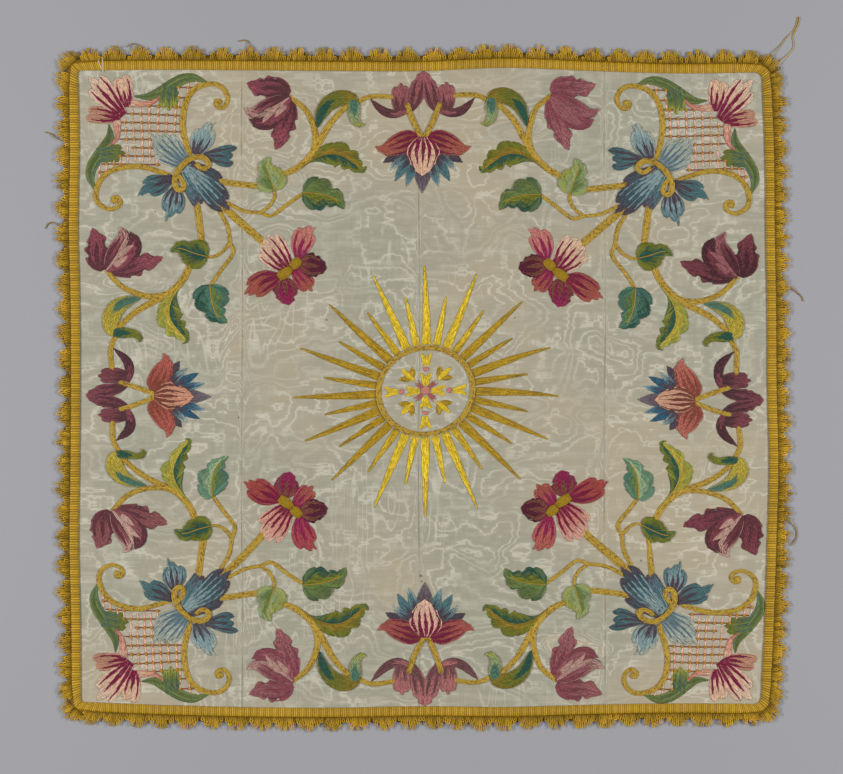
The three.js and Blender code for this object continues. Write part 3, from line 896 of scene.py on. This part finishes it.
spray_work = Work()
for quarter in quarters:
    place = setting(quarter)
    for turned in (False, True):
        side_place = setting(quarter, turned)
        greens = (leaf_green, moss, moss, leaf_green)
        if turned:
            greens = (moss, leaf_green, leaf_green, sea_green)
        leaf(
            spray_work, side_place, acanthus_back, [0.4, 3.0, 4.6, 4.6, 4.2, 3.0, 0.4], greens, depth=0.0,
            slant=1.6,
        )
        petal(
            spray_work, side_place, acanthus_lobes, [6.4, 7.2, 7.6, 7.0], (0.84, 1.0, 0.88),
            (leaf_green, leaf_green, olive if turned else lime), (3, sea_green, 0.7), 0.25,
        )
        petal(
            spray_work, side_place, calyx, [3.0, 2.8, 1.9, 1.3, 0.5], (1.0,),
            (peach, blush, dyed(196, 112, 96)), lift=0.3,
        )
        petal(
            spray_work, side_place, small_lily_petal, [3.0, 5.6, 7.2, 7.6, 6.4], (0.94, 1.0),
            (crimson, tan if turned else peach, tan if turned else peach), (3, crimson, 0.8), 0.3, notch=0.1,
        )
    petal(
        spray_work, place, large_lily_petal, [3.4, 6.2, 9.4, 10.6, 10.0], (0.8, 1.0, 0.86),
        (crimson, peach, dyed(232, 202, 176)), (3, crimson, 0.9), 0.4, notch=0.12,
    )
    for middle, half_widths, fingers, dyes, streaks, lift in blue_leaves:
        petal(spray_work, place, middle, half_widths, fingers, dyes, streaks, lift)
    gold_band(gold_work, place, corner_knot, [1.7, 2.1, 2.2, 2.2, 2.2, 2.1, 1.7], lift=1.1)
spray_work.sew("corner_sprays", coloured_floss)


# Leaves along the sides
# Four kinds of leaf on each stem: a small heart, a dark heart and a long lobed leaf, in floss that slants
# from a gold vein, and one whose tip folds over, in floss that runs along it.
pale_green, bottle, grass = dyed(146, 162, 112), dyed(34, 84, 68), dyed(106, 128, 62)
sun, mustard, jade = dyed(190, 170, 60), dyed(150, 122, 24), dyed(80, 122, 102)

leaf_work = Work()
for quarter in quarters:
    for turned in (False, True):
        place = setting(quarter, turned)
        small = (bottle, olive, bottle, olive) if turned else (grass, pale_green, pale_green, lime)
        dark = (grass, leaf_green, olive, bottle)
        if turned:
            dark = (jade, bottle, grass, jade)
            if quarter[1] < 0:
                dark = (dyed(160, 182, 140), dyed(112, 150, 118), grass, jade)
        long = (sun, lime, bottle, olive) if turned else (mustard, olive, bottle, olive)
        leaf(
            leaf_work, place, [(118.7, 158.2), (121.7, 168.9), (125.3, 179.1), (122.0, 185.6)],
            [5.0, 12.0, 13.4, 12.0, 9.4, 7.2, 3.8, 0.8], small, vein=gold_mid, lobes=3, depth=0.52, lift=0.9,
        )
        leaf(
            leaf_work, place, [(95.7, 156.7), (83.0, 155.7), (72.8, 153.1), (66.6, 149.5), (62.8, 143.6)],
            [5.6, 13.4, 14.8, 13.6, 11.2, 8.2, 4.6, 0.8], dark, vein=gold_mid, lobes=3, depth=0.52, lift=0.4,
        )
        leaf(
            leaf_work, place, [(97.3, 176.1), (88.1, 183.2), (78.9, 187.3), (67.7, 187.8), (57.5, 182.2),
                               (49.3, 175.0), (45.2, 177.8)],
            [0.3, 1.4, 6.6, 10.8, 10.4, 6.0, 0.8], long, vein=sun if turned else mustard, lobes=4,
            lobed_from=0.34, depth=0.42, lift=0.2,
        )
        petal(
            leaf_work, place, [(83.5, 209.6), (81.4, 219.9), (75.8, 229.1), (66.6, 233.7), (57.5, 233.2),
                               (52.0, 227.6)],
            [0.4, 3.8, 5.8, 6.6, 5.0, 1.6], (1.0,), (jade, sun, sun) if turned else (bottle, olive, mustard),
            (1, jade if turned else bottle, 0.6), 0.9, stitch_length=5.0,
        )
        petal(
            leaf_work, place, [(56.2, 232.2), (55.9, 224.0), (55.6, 216.9), (51.4, 211.4), (47.4, 212.6)],
            [3.0, 4.8, 3.8, 2.6, 0.8], (1.0,),
            (bottle, olive, olive) if turned else (jade, pale_green, lime),
            (1, bottle if turned else jade, 0.6), 1.2, stitch_length=4.0,
        )
leaf_work.sew("side_leaves", coloured_floss)


# Tulips
# Eight tulips in dusty rose and wine floss, shaded dark at the root. Each has two lobed petals spread wide,
# a narrow one between them, and over it a pale-lipped one with two pale dags.
rose, dusty, dark_rose, shell = dyed(146, 72, 84), dyed(160, 96, 100), dyed(98, 48, 54), dyed(194, 154, 140)
tulip_dyes = {  # by quarter and side: light, dark and lining
    ((-1, 1), False): (rose, dark_rose, shell),
    ((-1, 1), True): (rose, dark_rose, shell),
    ((1, 1), False): (dusty, rose, dusty),
    ((1, 1), True): (dyed(118, 54, 62), dyed(78, 32, 42), dusty),
    ((-1, -1), False): (dusty, rose, shell),
    ((-1, -1), True): (dyed(146, 84, 86), dyed(104, 50, 60), dyed(202, 164, 150)),
    ((1, -1), False): (dusty, dyed(140, 70, 78), shell),
    ((1, -1), True): (dyed(130, 58, 70), dark_rose, shell),
}
tulip_back_petals = [  # middle line, half widths, how far the dark streaks run
    ([(104.9, 236.8), (115.0, 241.6), (127.6, 241.2), (140.8, 245.4)],
     [2.0, 5.8, 7.6, 8.6, 9.8, 9.8, 8.4, 6.8, 4.4, 0.8], 0.8),
    ([(103.0, 232.0), (106.6, 219.0), (112.0, 207.0), (113.4, 199.0), (117.4, 191.6)],
     [1.6, 4.6, 6.8, 8.8, 10.2, 9.6, 8.6, 6.8, 4.8, 1.4], 0.7),
]
tulip_dags = [
    [(108.0, 227.4), (113.6, 222.0), (117.4, 217.0)],
    [(116.0, 225.0), (123.0, 218.6), (127.4, 212.6)],
]

tulip_work = Work()
for (quarter, turned), (light, dark, lining) in tulip_dyes.items():
    place = setting(quarter, turned)
    for middle, half_widths, streaked in tulip_back_petals:
        petal(
            tulip_work, place, middle, half_widths, (1.0,), (dark, light, light), (3, dark, streaked), 0.2,
            mottle=0.17, lobes=(2.5, 0.5, 0.34, 0), stitch_length=4.2,
        )
    petal(
        tulip_work, place, [(104.9, 234.2), (110.5, 223.0), (120.7, 214.8), (130.9, 212.8), (138.4, 216.6)],
        [1.4, 4.6, 6.6, 5.4, 0.8], (1.0,), (light, dark, dark), (1, light, 0.95), 0.5,
    )
    for dag in tulip_dags:
        petal(tulip_work, place, dag, [1.8, 2.6, 1.8, 0.3], (1.0,), (lining,) * 3, lift=0.8)
    petal(
        tulip_work, place, [(105.4, 234.7), (113.6, 231.2), (123.8, 226.1), (134.0, 221.0), (142.4, 225.4)],
        [1.4, 4.4, 5.8, 5.6, 4.2, 0.8], (1.0,), (dark, light, lining), (2, dark, 0.8), 0.9, lip=(lining, -1),
    )
tulip_work.sew("tulips", coloured_floss)


# Flowers on the diagonals
# Four open flowers, each of six ragged petals in crimson, salmon and peach floss about two gold seed heads.
salmon, coral, magenta = dyed(174, 88, 74), dyed(204, 128, 116), dyed(146, 24, 78)
flower_dyes = {  # by quarter: the six petals' bodies, clockwise from the outermost
    (-1, 1): (peach, coral, wine, salmon, magenta, salmon),
    (1, 1): (peach, coral, wine, salmon, magenta, salmon),
    (-1, -1): (blush, dyed(176, 74, 76), wine, salmon, magenta, dyed(176, 74, 68)),
    (1, -1): (dyed(208, 136, 120), dyed(188, 100, 88), wine, salmon, magenta, dyed(176, 74, 68)),
}
flower_petals = [  # middle line, half widths, fingers
    ([(108.5, 95.1), (119.6, 108.8), (129.0, 120.4)], [5.0, 9.5, 12.5, 13.5, 12.0],
     (0.74, 0.9, 1.0, 0.97, 0.86)),
    ([(100.3, 103.8), (97.3, 115.5), (92.2, 125.7), (86.0, 129.8)], [2.6, 7.4, 9.4, 8.2, 4.6],
     (0.72, 0.9, 1.0, 0.8)),
    ([(98.8, 99.4), (89.1, 98.1), (77.6, 95.8)], [2.6, 7.4, 10.2, 10.4, 8.6, 6.2, 0.8], (1.0,)),
    ([(103.5, 94.8), (96.2, 85.9), (89.4, 77.4)], [3.0, 6.4, 7.6, 7.0, 4.6], (0.84, 1.0, 0.84)),
    ([(111.4, 87.6), (110.5, 77.7), (108.0, 66.6)], [3.6, 7.8, 10.2, 10.4, 8.6, 6.2, 1.0], (1.0,)),
    ([(115.4, 89.4), (127.9, 84.9), (143.0, 75.2)], [2.6, 7.6, 9.6, 8.8, 5.6], (0.78, 0.92, 1.0, 0.8)),
]
seed_heads = [[(98.8, 103.0), (102.2, 99.8), (106.0, 96.4)], [(106.0, 95.6), (111.2, 91.6), (116.2, 88.0)]]

flower_work = Work()
for quarter, bodies in flower_dyes.items():
    place = setting(quarter)
    for order, ((middle, half_widths, fingers), body) in enumerate(zip(flower_petals, bodies)):
        root = magenta if order in (1, 3) else crimson
        streak = dyed(126, 70, 52) if body is wine or body is magenta else root
        rim = body if order else (body + dyed(236, 208, 184)) / 2
        is_lobed = len(fingers) == 1
        petal(
            flower_work, place, middle, half_widths, fingers, (root, body, rim),
            (3 if order else 5, streak, 0.8), 0.2 + 0.12 * (order % 3), notch=0.12,
            stitch_length=4.0 if is_lobed else 6.0, lobes=(3, 0.46, 0.3, 0) if is_lobed else None,
        )
    for head in seed_heads:
        gold_band(
            gold_work, place, head, [2.4, 3.7, 3.9, 2.8], lift=0.9, high=1.0, lanes=7,
            dyes=(dyed(186, 150, 14), dyed(172, 136, 8), dyed(164, 128, 6)),
        )
flower_work.sew("diagonal_flowers", coloured_floss)


# Lilies and palmettes on the veil's two middle lines
# At the middle of each side a rose palmette with curling tails stands at the rim, and a pair of gold stems
# drops from it to a lily of salmon and peach, fringed with blue spikes.
spike_blue, root_brown = dyed(42, 92, 118), dyed(124, 62, 42)
axis_dyes = {  # by turned and sign: palmette light, palmette dark, side petals, centre petal, spikes
    (False, 1): (dyed(158, 90, 94), dyed(104, 56, 60), dyed(174, 92, 74), peach, teal),
    (False, -1): (dyed(176, 110, 108), dyed(116, 72, 74), dyed(174, 88, 78), dyed(226, 186, 162), teal),
    (True, -1): (dyed(134, 70, 78), dyed(94, 50, 58), dyed(180, 92, 78), dyed(208, 150, 120), spike_blue),
    (True, 1): (dyed(126, 64, 72), dyed(82, 44, 50), dyed(186, 106, 90), dyed(208, 160, 132), spike_blue),
}
lily_spikes = [  # root, bend, tip and half width
    ((12.8, 190.0), (24.4, 184.8), (31.8, 180.6), 4.6), ((10.0, 188.6), (20.6, 180.8), (26.1, 174.6), 4.2),
    ((8.0, 186.6), (16.8, 174.8), (22.0, 165.8), 4.4), ((4.6, 184.0), (9.8, 171.4), (12.8, 161.6), 4.4),
]

axis_work = Work()
for (turned, sign), (light, dark, side_dye, centre_dye, spike_dye) in axis_dyes.items():
    for half in (-1, 1):
        place = setting((sign, half) if turned else (half, sign), turned)
        petal(
            axis_work, place, [(10.4, 221.6), (6.4, 231.5), (4.8, 239.5), (3.0, 246.4), (0.2, 253.6)],
            [1.8, 4.0, 5.2, 6.0, 6.4, 5.4, 3.8, 0.6], (1.0,), (dark, light, light), (2, dark, 0.8), 0.3,
            mottle=0.16, lobes=(2, 0.5, 0.56, 0), stitch_length=4.0,
        )
        petal(
            axis_work, place, [(10.2, 223.6), (16.4, 220.6), (24.0, 219.6), (33.0, 223.0), (43.0, 232.6)],
            [1.4, 3.0, 3.6, 2.6, 0.4], (1.0,), (light, dark, dark), (1, light, 0.5), 0.2, mottle=0.16,
        )
        petal(
            axis_work, place, [(19.4, 221.6), (19.0, 232.0), (18.4, 244.4)], [3.6, 6.6, 6.8, 5.6],
            (0.86, 1.0, 0.9), (dark, light, light), (2, dark, 0.6), 0.4, notch=0.1, mottle=0.16,
        )
        for order, (root, bend, tip, wide) in enumerate(lily_spikes):
            own = (plum, plum, plum) if order == 0 else (plum, spike_dye, sky if order == 3 else spike_dye)
            if order == 1:
                own = (slate, slate, mist)
            petal(
                axis_work, place, [root, bend, tip], [wide * 0.8, wide, wide * 0.9, wide * 0.56, 0.3],
                (1.0,), own, (1, plum, 0.6), lift=0.2,
            )
        petal(
            axis_work, place, [(2.4, 200.6), (12.0, 197.2), (22.0, 193.6), (31.0, 190.8), (38.4, 193.8)],
            [2.0, 7.4, 9.6, 9.4, 9.0, 7.6, 5.6, 3.0, 0.6], (1.0,), (root_brown, side_dye, side_dye),
            (4, dyed(148, 72, 56) if turned else crimson, 0.72), 0.5, stitch_length=4.0,
            lobes=(4, 0.5, 0.3, -1),
        )
    place = setting((sign, 1) if turned else (1, sign), turned)
    petal(
        axis_work, place, [(0.0, 180.0), (0.0, 168.0), (0.0, 156.8)], [4.6, 6.2, 6.0, 3.4, 0.5], (1.0,),
        (plum, dyed(104, 90, 98), dyed(126, 112, 118)), lift=0.3,
    )
    petal(
        axis_work, place, [(0.0, 201.2), (0.0, 186.8), (0.0, 170.0)],
        [3.4, 8.4, 11.8, 13.4, 13.0, 11.4, 9.2, 6.0, 0.6], (1.0,),
        (centre_dye,) * 3, (5, root_brown if turned else crimson, 0.8), 0.9,
        lobes=(3, 0.34, 0.36, 0), stitch_length=4.6,
    )
axis_work.sew("lilies_and_palmettes", coloured_floss)


# Sunburst
# Sixteen long and sixteen short rays in satin stitch of bright gold silk, worked lengthways, stand round a
# laid ring. Inside the ring are a flared gold cross, pink beads and cords, and small gold sprigs.
sun_middle = np.array([1.4, -1.9])
ring_radius, ring_half_width = 36.3, 2.1
ray_count = 32
arc_steps, arc_start, arc_lap = 32, 0.76, 2  # the ring runs on a little way over its own start
sun_bright, sun_ochre, bead_pink = dyed(238, 204, 46), dyed(190, 152, 22), dyed(226, 142, 130)


def at_sun(drawn):
    """The ring is a little wider than it is high."""
    return sun_middle + np.asarray(drawn) * [1.03, 0.97]


def at_rays(drawn):
    return sun_middle + np.asarray(drawn)


def around_sun(radius, bearing):
    return np.array([radius * math.cos(bearing), radius * math.sin(bearing)])


def ray_bearing(bearing):
    """The rays are drawn in towards the level, and the level ones droop a little."""
    drawn_in = math.atan2(0.93 * math.sin(bearing), math.cos(bearing))
    level = math.cos(bearing) * abs(math.cos(bearing))
    return drawn_in - 0.04 * level * float(smooth_share(math.sin(bearing), -0.7, 0.0))


sun_work = Work()
arc = [math.tau * (k / arc_steps + arc_start) for k in range(arc_steps + arc_lap)]
arc = [around_sun(ring_radius, bearing) for bearing in arc]
gold_band(sun_work, at_sun, arc, [ring_half_width] * 3, lift=0.2, high=0.6)
for k in range(ray_count):
    bearing = ray_bearing(math.tau * k / ray_count)
    level = math.cos(bearing) ** 2
    is_long = k % 2 == 0
    tip = (102.0 + 3.5 * level if is_long else 77.0 + 5.5 * level) + 0.8 * math.sin(3.7 * k)
    wide = 3.6 if is_long else 3.0
    root, end = around_sun(37.6 + 2.2 * level, bearing), around_sun(tip, bearing)
    # Rays nearer upright are painted bright gold and level ones ochre: painted sheen of the side lamps on
    # threads laid along each ray.
    gold = sun_ochre + (sun_bright - sun_ochre) * smooth_share(abs(math.sin(bearing)), 0.68, 0.97)
    petal(
        sun_work, at_rays, [root, (root + end) / 2, end],
        [wide, wide * 0.84, wide * 0.64, wide * 0.4, wide * 0.12], (1.0,), (gold, gold, gold * 0.8),
        lift=0.2, notch=0.0, pitch=0.72, stitch_length=7.0, mottle=0.16,
    )
for k in range(4):
    bearing = math.tau * k / 4
    for near, far in ((4.4, 15.2), (21.0, 31.6)):
        arm = [around_sun(near, bearing), around_sun((near + far) / 2, bearing), around_sun(far, bearing)]
        petal(
            sun_work, at_sun, arm, [2.2, 2.7, 3.2, 5.4], (1.0, 0.8, 1.0), (sun_bright,) * 3, lift=0.2,
            pitch=0.7,
        )
    bead = [around_sun(16.6, bearing), around_sun(18.4, bearing), around_sun(20.2, bearing)]
    petal(sun_work, at_sun, bead, [1.5, 2.3, 1.5], (1.0,), (bead_pink,) * 3, lift=0.4, stitch_length=3.0)
    slant = bearing + math.tau / 8
    for fork in (-0.8, 0.0, 0.8):
        foot = around_sun(13.0 if fork == 0 else 15.0, slant)
        top = foot + around_sun(14.0 if fork == 0 else 10.0, slant + fork)
        petal(
            sun_work, at_sun, [foot, (foot + top) / 2, top], [0.9, 2.4, 2.2, 0.4], (1.0,),
            (sun_bright if fork == 0 else sun_ochre,) * 3, lift=0.2, pitch=0.7,
        )
    for strand in range(4):
        spread = slant + 0.14 * (strand - 1.5)
        ends = at_sun([around_sun(3.0, spread), around_sun(11.6 - 1.4 * (strand % 2), spread)])
        sun_work.stitch(*ends, np.array([0.9, 0.3]), (0.4, 0.25), dyed(192, 108, 102))
petal(
    sun_work, at_sun, [(-3.0, 0.0), (0.0, 0.3), (3.0, 0.0)], [2.4, 3.2, 2.4], (1.0,), (bead_pink,) * 3,
    lift=0.8, stitch_length=3.4,
)
sun_work.sew("sunburst", gold_thread)
gold_work.sew("gold_stems_and_scrolls", gold_thread)


# Gimp edging
# One length of gimp sewn over the silk's rim: a ribbed heading about 7 mm wide, and beyond it fans of looped
# gold silk cord, seven long loops and five short ones to a fan. At the corners it turns and the fans spread.
seat = 1.3
heading_shade_and_pitch = {  # by side: how far the painted shade in its grooves is lightened towards the middle gold, and the pitch of its ribs
    "top": (0.8, 1.5), "right": (0.28, 2.0), "bottom": (0.8, 1.5), "left": (0.28, 2.0),
}
heading_middle, fine_steps = 4.0, 1500
turn_length, turn_spread = 20.0, 14.0
pitch_sway = 1.6
loop_root, fan_root = 7.3, 8.4
loop_reach = (10.5, 10.2, 9.6, 8.8)  # from a fan's middle loop to its outermost
loop_lean, loop_apart = 0.39, 2.65
loop_cord, fray_cord, sewing_cord = 0.54, 0.42, 0.28  # half thicknesses
short_loops = [(-2.2, 0.6), (-1.0, 0.7), (0.1, 0.62), (1.2, 0.7), (2.3, 0.6)]  # place, share of reach
# The darkest gold is painted shade, for the heading's grooves, the fan board and the loops' roots.
cord_bright, cord_mid, cord_painted_shade = dyed(200, 158, 36), dyed(148, 110, 14), dyed(58, 38, 2)
edging_rng = np.random.default_rng(11)


class Edging:
    """One run of the gimp, measured along its fans from one corner's diagonal to the next."""

    def __init__(self, side):
        self.side = side
        to_diagonal = 1 - math.sqrt(0.5)
        self.first = to_diagonal * side.start_radius
        self.last = side.length - to_diagonal * side.end_radius
        self.at_fans = self.last - self.first + 2 * turn_spread

    def rim_from_fans(self, distance):
        turned = turn_length + turn_spread
        return np.where(distance < turned, distance * turn_length / turned, distance - turn_spread)

    def at(self, out, across, up):
        """A point at a distance along the fans, across from the inner rim, and up from the table."""
        out, across = np.asarray(out, float), np.asarray(across, float)
        near = out < self.at_fans / 2
        from_start = self.first + self.rim_from_fans(out)
        from_end = self.last - self.rim_from_fans(self.at_fans - out)
        distance = np.where(near, from_start, from_end)
        start_turn = np.clip(1 - (distance - self.first) / turn_length, 0.0, 1.0)
        end_turn = np.clip(1 - (self.last - distance) / turn_length, 0.0, 1.0)
        lean = (end_turn - start_turn) * math.pi / 4
        drawn = self.drawn_in(distance, self.side.start_radius)
        drawn = drawn + self.drawn_in(self.side.length - distance, self.side.end_radius)
        inner = self.side.rim(distance, -drawn)
        outward = np.cos(lean)[..., None] * self.side.out + np.sin(lean)[..., None] * self.side.ahead
        plan = inner + across[..., None] * outward
        return np.concatenate([plan, np.broadcast_to(up, plan.shape[:-1])[..., None]], axis=-1)

    def drawn_in(self, distance, radius):
        inside = np.clip(radius - distance, 0.0, None)
        return radius - np.sqrt(radius**2 - inside**2)

    def fan_middle(self, fan):
        """Where a fan's head stands along the fans; the fans stray a little from an even pitch."""
        share = fan / self.side.fans
        sway = np.sin(0.9 * fan + self.side.fans) * np.sin(math.pi * share)
        return self.at_fans * share + pitch_sway * sway


def ring_faces(count, around):
    """Faces of a row of rings, closed at both ends."""
    number = np.arange(count * around).reshape(count, around)
    turned = np.roll(number, -1, axis=1)
    quads = np.stack([number[:-1], turned[:-1], turned[1:], number[1:]], axis=-1).reshape(-1, 4).tolist()
    return quads + [number[0][::-1].tolist(), number[-1].tolist()]


def heading(run, groove_shade_lightening, pitch):
    """The ribbed heading: three rings of points to each rib, low in the gap and high on the rib, painted
    bright on the rib and dark in the gap as painted light and shade.
    """
    fine = np.linspace(0.0, run.at_fans, fine_steps)
    line = run.at(fine, np.full(fine_steps, heading_middle), 0.0)
    length = run_of(line)
    ribs = int(length[-1] / pitch)
    k = np.arange(3 * ribs + 1)
    out = np.interp((k // 3 + np.array([0.0, 0.3, 0.75])[k % 3]) * length[-1] / ribs, length, fine)
    rib = np.where(k % 3 == 0, 0.0, 1.0)
    uneven = 0.15 * np.sin(1.7 * (k // 3))
    gap = cord_painted_shade + groove_shade_lightening * (cord_mid - cord_painted_shade)
    profile = [(-0.1, 0.0, 0.0), (-0.2, 0.5, 0.3), (0.35, 0.75, 0.4), (0.8, 0.6, 0.3), (1.2, 0.8, 0.65),
               (3.0, 0.9, 0.75), (5.6, 0.85, 0.75), (6.8, 0.65, 0.6), (7.3, 0.3, 0.3), (7.2, 0.0, 0.0)]
    rings, colours = [], []
    for across, low, raised in profile:
        rings.append(run.at(out, across + 0.25 * uneven, seat + low + raised * rib))
        # Ribs are painted bright on their crests and dark in their grooves, and darker along the inner edge:
        # painted light and shade.
        painted_light = (0.7 if across < 1.0 else 0.92) * rib[:, None]
        shade = gap + (cord_bright - gap) * painted_light
        colours.append(shade * (1.0 + uneven[:, None]))
    return np.stack(rings, axis=1), np.stack(colours, axis=1)


def fan_board(run):
    """The close-woven ground that the loops spring from, scalloped along its outer edge, and painted dark as
    the shade between the loops.
    """
    count = run.side.fans * 12
    out = np.linspace(0.0, run.at_fans, count + 1)
    fan = out / run.at_fans * run.side.fans
    edge = 10.8 + 3.0 * np.abs(np.cos(math.pi * fan)) ** 0.8
    rings = []
    for across, up in [(6.8, 0.1), (6.8, 0.7), (9.5, 0.75), (None, 0.5), (None, 0.1)]:
        rings.append(run.at(out, edge if across is None else np.full(count + 1, across), seat + up))
    rings = np.stack(rings, axis=1)
    # The board is painted darkest at its outer rim and underside: painted shade between the loops.
    painted_light = np.array([0.4, 0.8, 0.4, 0.15, 0.1])[None, :, None] * np.ones((count + 1, 1, 1))
    return rings, cord_painted_shade + (cord_mid - cord_painted_shade) * painted_light


def loop_line(place, share):
    """One hairpin of cord, aside from its fan's middle line, across from the rim and up from the seat:
    out from the heading, leaning away from the middle, round its end and back."""
    lean = loop_lean * place + edging_rng.normal(0.0, 0.08)
    reach = share * np.interp(abs(place), range(4), loop_reach) + edging_rng.normal(0.0, 0.45)
    tip = (reach * math.sin(lean), fan_root + reach * math.cos(lean))
    root = share * loop_apart * place
    spine = smooth_line([(root, loop_root), (1.06 * root, fan_root + 1.0), tip], 7)
    aside = way_along(spine) @ quarter_turn * np.array([[0.6, 0.62, 0.62, 0.66, 0.8, 0.95, 0.0]]).T
    flat = np.vstack([spine + aside, (spine - aside)[-2::-1]])
    height = 0.9 + 0.3 * (place % 2) + 0.9 * (1.0 - share) + edging_rng.normal(0.0, 0.12)
    rise = np.interp(np.arange(13), [0, 2, 6, 10, 12], [0.8, height + 0.2, height - 0.15, height + 0.2, 0.8])
    return smooth_line(np.column_stack([flat, rise]), 16 if share > 0.8 else 12)


def place_on_run(run, middle):
    """Sets a loop's line out on a run of the gimp, about a place along its fans."""

    def place(line):
        along = np.clip(middle + line[:, 0], 0.5, run.at_fans - 0.5)
        return run.at(along, line[:, 1], seat + line[:, 2])

    return place


def place_on_corner(run):
    """Sets a loop's line out on the corner where a run starts, about its diagonal."""
    root, out = run.at(np.zeros(2), np.array([0.0, 1.0]), seat)
    ahead = out - root
    beside = np.array([ahead[1], -ahead[0], 0.0])

    def place(line):
        return root + line @ np.array([beside, ahead, [0.0, 0.0, 1.0]])

    return place


frays = {  # loose plies of the gimp's cord, from where each leaves the fans to its free end
    "left": [
        [(-288.6, 197.6, 2.4), (-293.6, 200.4, 1.6), (-297.4, 203.6, 0.8), (-301.6, 204.8, 0.5)],
        [(-291.0, 130.0, 2.2), (-295.4, 132.4, 1.2), (-299.0, 131.0, 0.6), (-301.0, 127.4, 0.5)],
    ],
    "top": [
        [(-134.6, 270.4, 2.4), (-138.0, 274.2, 1.6), (-140.4, 278.0, 0.8), (-147.0, 277.4, 0.5)],
        [(-236.0, 272.4, 2.4), (-231.0, 275.2, 1.4), (-226.0, 273.6, 1.2), (-225.2, 270.6, 2.0)],
    ],
    "right": [
        [(294.4, 81.0, 2.2), (299.0, 77.0, 1.0), (303.4, 73.0, 0.5), (304.6, 69.4, 0.5)],
        [(293.4, -106.0, 2.2), (298.6, -112.0, 1.0), (299.4, -119.0, 0.6), (295.4, -126.0, 1.6)],
    ],
}
sewing_threads = [
    [(-258.6, 262.0, 2.9), (-257.6, 258.6, 3.0), (-256.0, 255.6, 2.6), (-254.8, 252.6, 1.8)],
    [(-255.8, 264.4, 2.9), (-255.0, 260.8, 3.0), (-255.0, 257.2, 2.8), (-254.6, 254.2, 1.9)],
]


def gimp_finish():
    """Gold silk cord with the fine line of its plies, each stretch the colour given to its points, with
    painted light and shade on the heading, fan board and loops.
    """
    finish = Finish("gold_gimp")
    plies, worn = finish.noise(1.5, detail=3.0), finish.noise(0.03)
    shade = finish.maths(
        "MULTIPLY", finish.ramp(plies, 0.3, 0.7, 0.7, 1.2), finish.ramp(worn, 0.3, 0.7, 0.9, 1.08),
    )
    return finish.surfaced(finish.thread_dye(shade), 0.5, specular=0.25, relief=(plies, 0.4, 0.0001))


gold_gimp = gimp_finish()
for name, side in sides.items():
    run = Edging(side)
    gimp, shades = Gathered(), []
    for rings, colours in (heading(run, *heading_shade_and_pitch[name]), fan_board(run)):
        gimp.add(rings.reshape(-1, 3), ring_faces(*rings.shape[:2]))
        shades.append(colours.reshape(-1, 3))
    places = [place_on_corner(run)]
    for fan in range(1, side.fans):
        places.append(place_on_run(run, float(run.fan_middle(fan))))
    for place in places:
        size = edging_rng.normal(1.0, 0.03)
        for step, share in [(k, size) for k in range(-3, 4)] + short_loops:
            points, faces, along = cord_tube(place(loop_line(step, share)), loop_cord, 4)
            gimp.add(points, faces)
            # Each loop is painted dark at its roots and bright round its head: painted shade and light; the
            # random factor is its own tone.
            painted_light = 0.3 + 0.62 * np.sin(math.pi * along / along.max())[:, None]
            shades.append((cord_painted_shade + (cord_bright - cord_painted_shade) * painted_light) * edging_rng.normal(1.0, 0.17))
    threads = [(stops, 16, fray_cord, cord_mid) for stops in frays.get(name, [])]
    if name == "top":
        threads += [(stops, 12, sewing_cord, dyed(226, 220, 200)) for stops in sewing_threads]
    for stops, count, radius, dye in threads:
        points, faces, along = cord_tube(smooth_line(stops, count), radius, 5)
        gimp.add(points, faces)
        shades.append(np.tile(dye, (len(points), 1)))
    colours = np.clip(np.vstack(shades), 0.0, 1.0)
    piece = new_piece("gimp_" + name, np.vstack(gimp.points), gimp.faces, gold_gimp, colours)
    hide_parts("edging_" + name)


# The table and the light
# A plain pale grey board under the veil, and a broad soft lamp at either side of it, low enough to rake the
# ribs of the silk and the relief of the stitches.
table_half_wide = 3.0


def table_finish():
    finish = Finish("table_board")
    colour = finish.mixed(finish.noise(0.6, detail=3.0), dyed(164, 164, 168), dyed(159, 159, 163))
    return finish.surfaced(colour, 0.9, specular=0.2)


board_mesh = bpy.data.meshes.new("table_board")
corners = np.array([(-1, -1, 0), (1, -1, 0), (1, 1, 0), (-1, 1, 0)]) * table_half_wide
board_mesh.from_pydata(corners.tolist(), [], [(0, 1, 2, 3)])
board_mesh.materials.append(table_finish())
set_down("table_board", board_mesh)

lamp_offset, lamp_height = 1.6, 1.35
room_light = 0.16
for name, sideways, watts in (("lamp_left", -1, 31.5), ("lamp_right", 1, 29.5)):
    lamp = set_down(name, bpy.data.lights.new(name, "AREA"))
    lamp.data.shape = "RECTANGLE"
    lamp.data.size = 0.6
    lamp.data.size_y = 1.6
    lamp.data.energy = watts
    lamp.location = (sideways * lamp_offset, 0.0, lamp_height)
    lamp.rotation_euler = (0.0, sideways * math.atan2(lamp_offset, lamp_height), 0.0)

room = bpy.data.worlds.new("room")
room.use_nodes = True
room.node_tree.nodes["Background"].inputs["Color"].default_value = (1.0, 1.0, 1.0, 1.0)
room.node_tree.nodes["Background"].inputs["Strength"].default_value = room_light
bpy.context.scene.world = room
bpy.context.scene.view_settings.view_transform = "Standard"
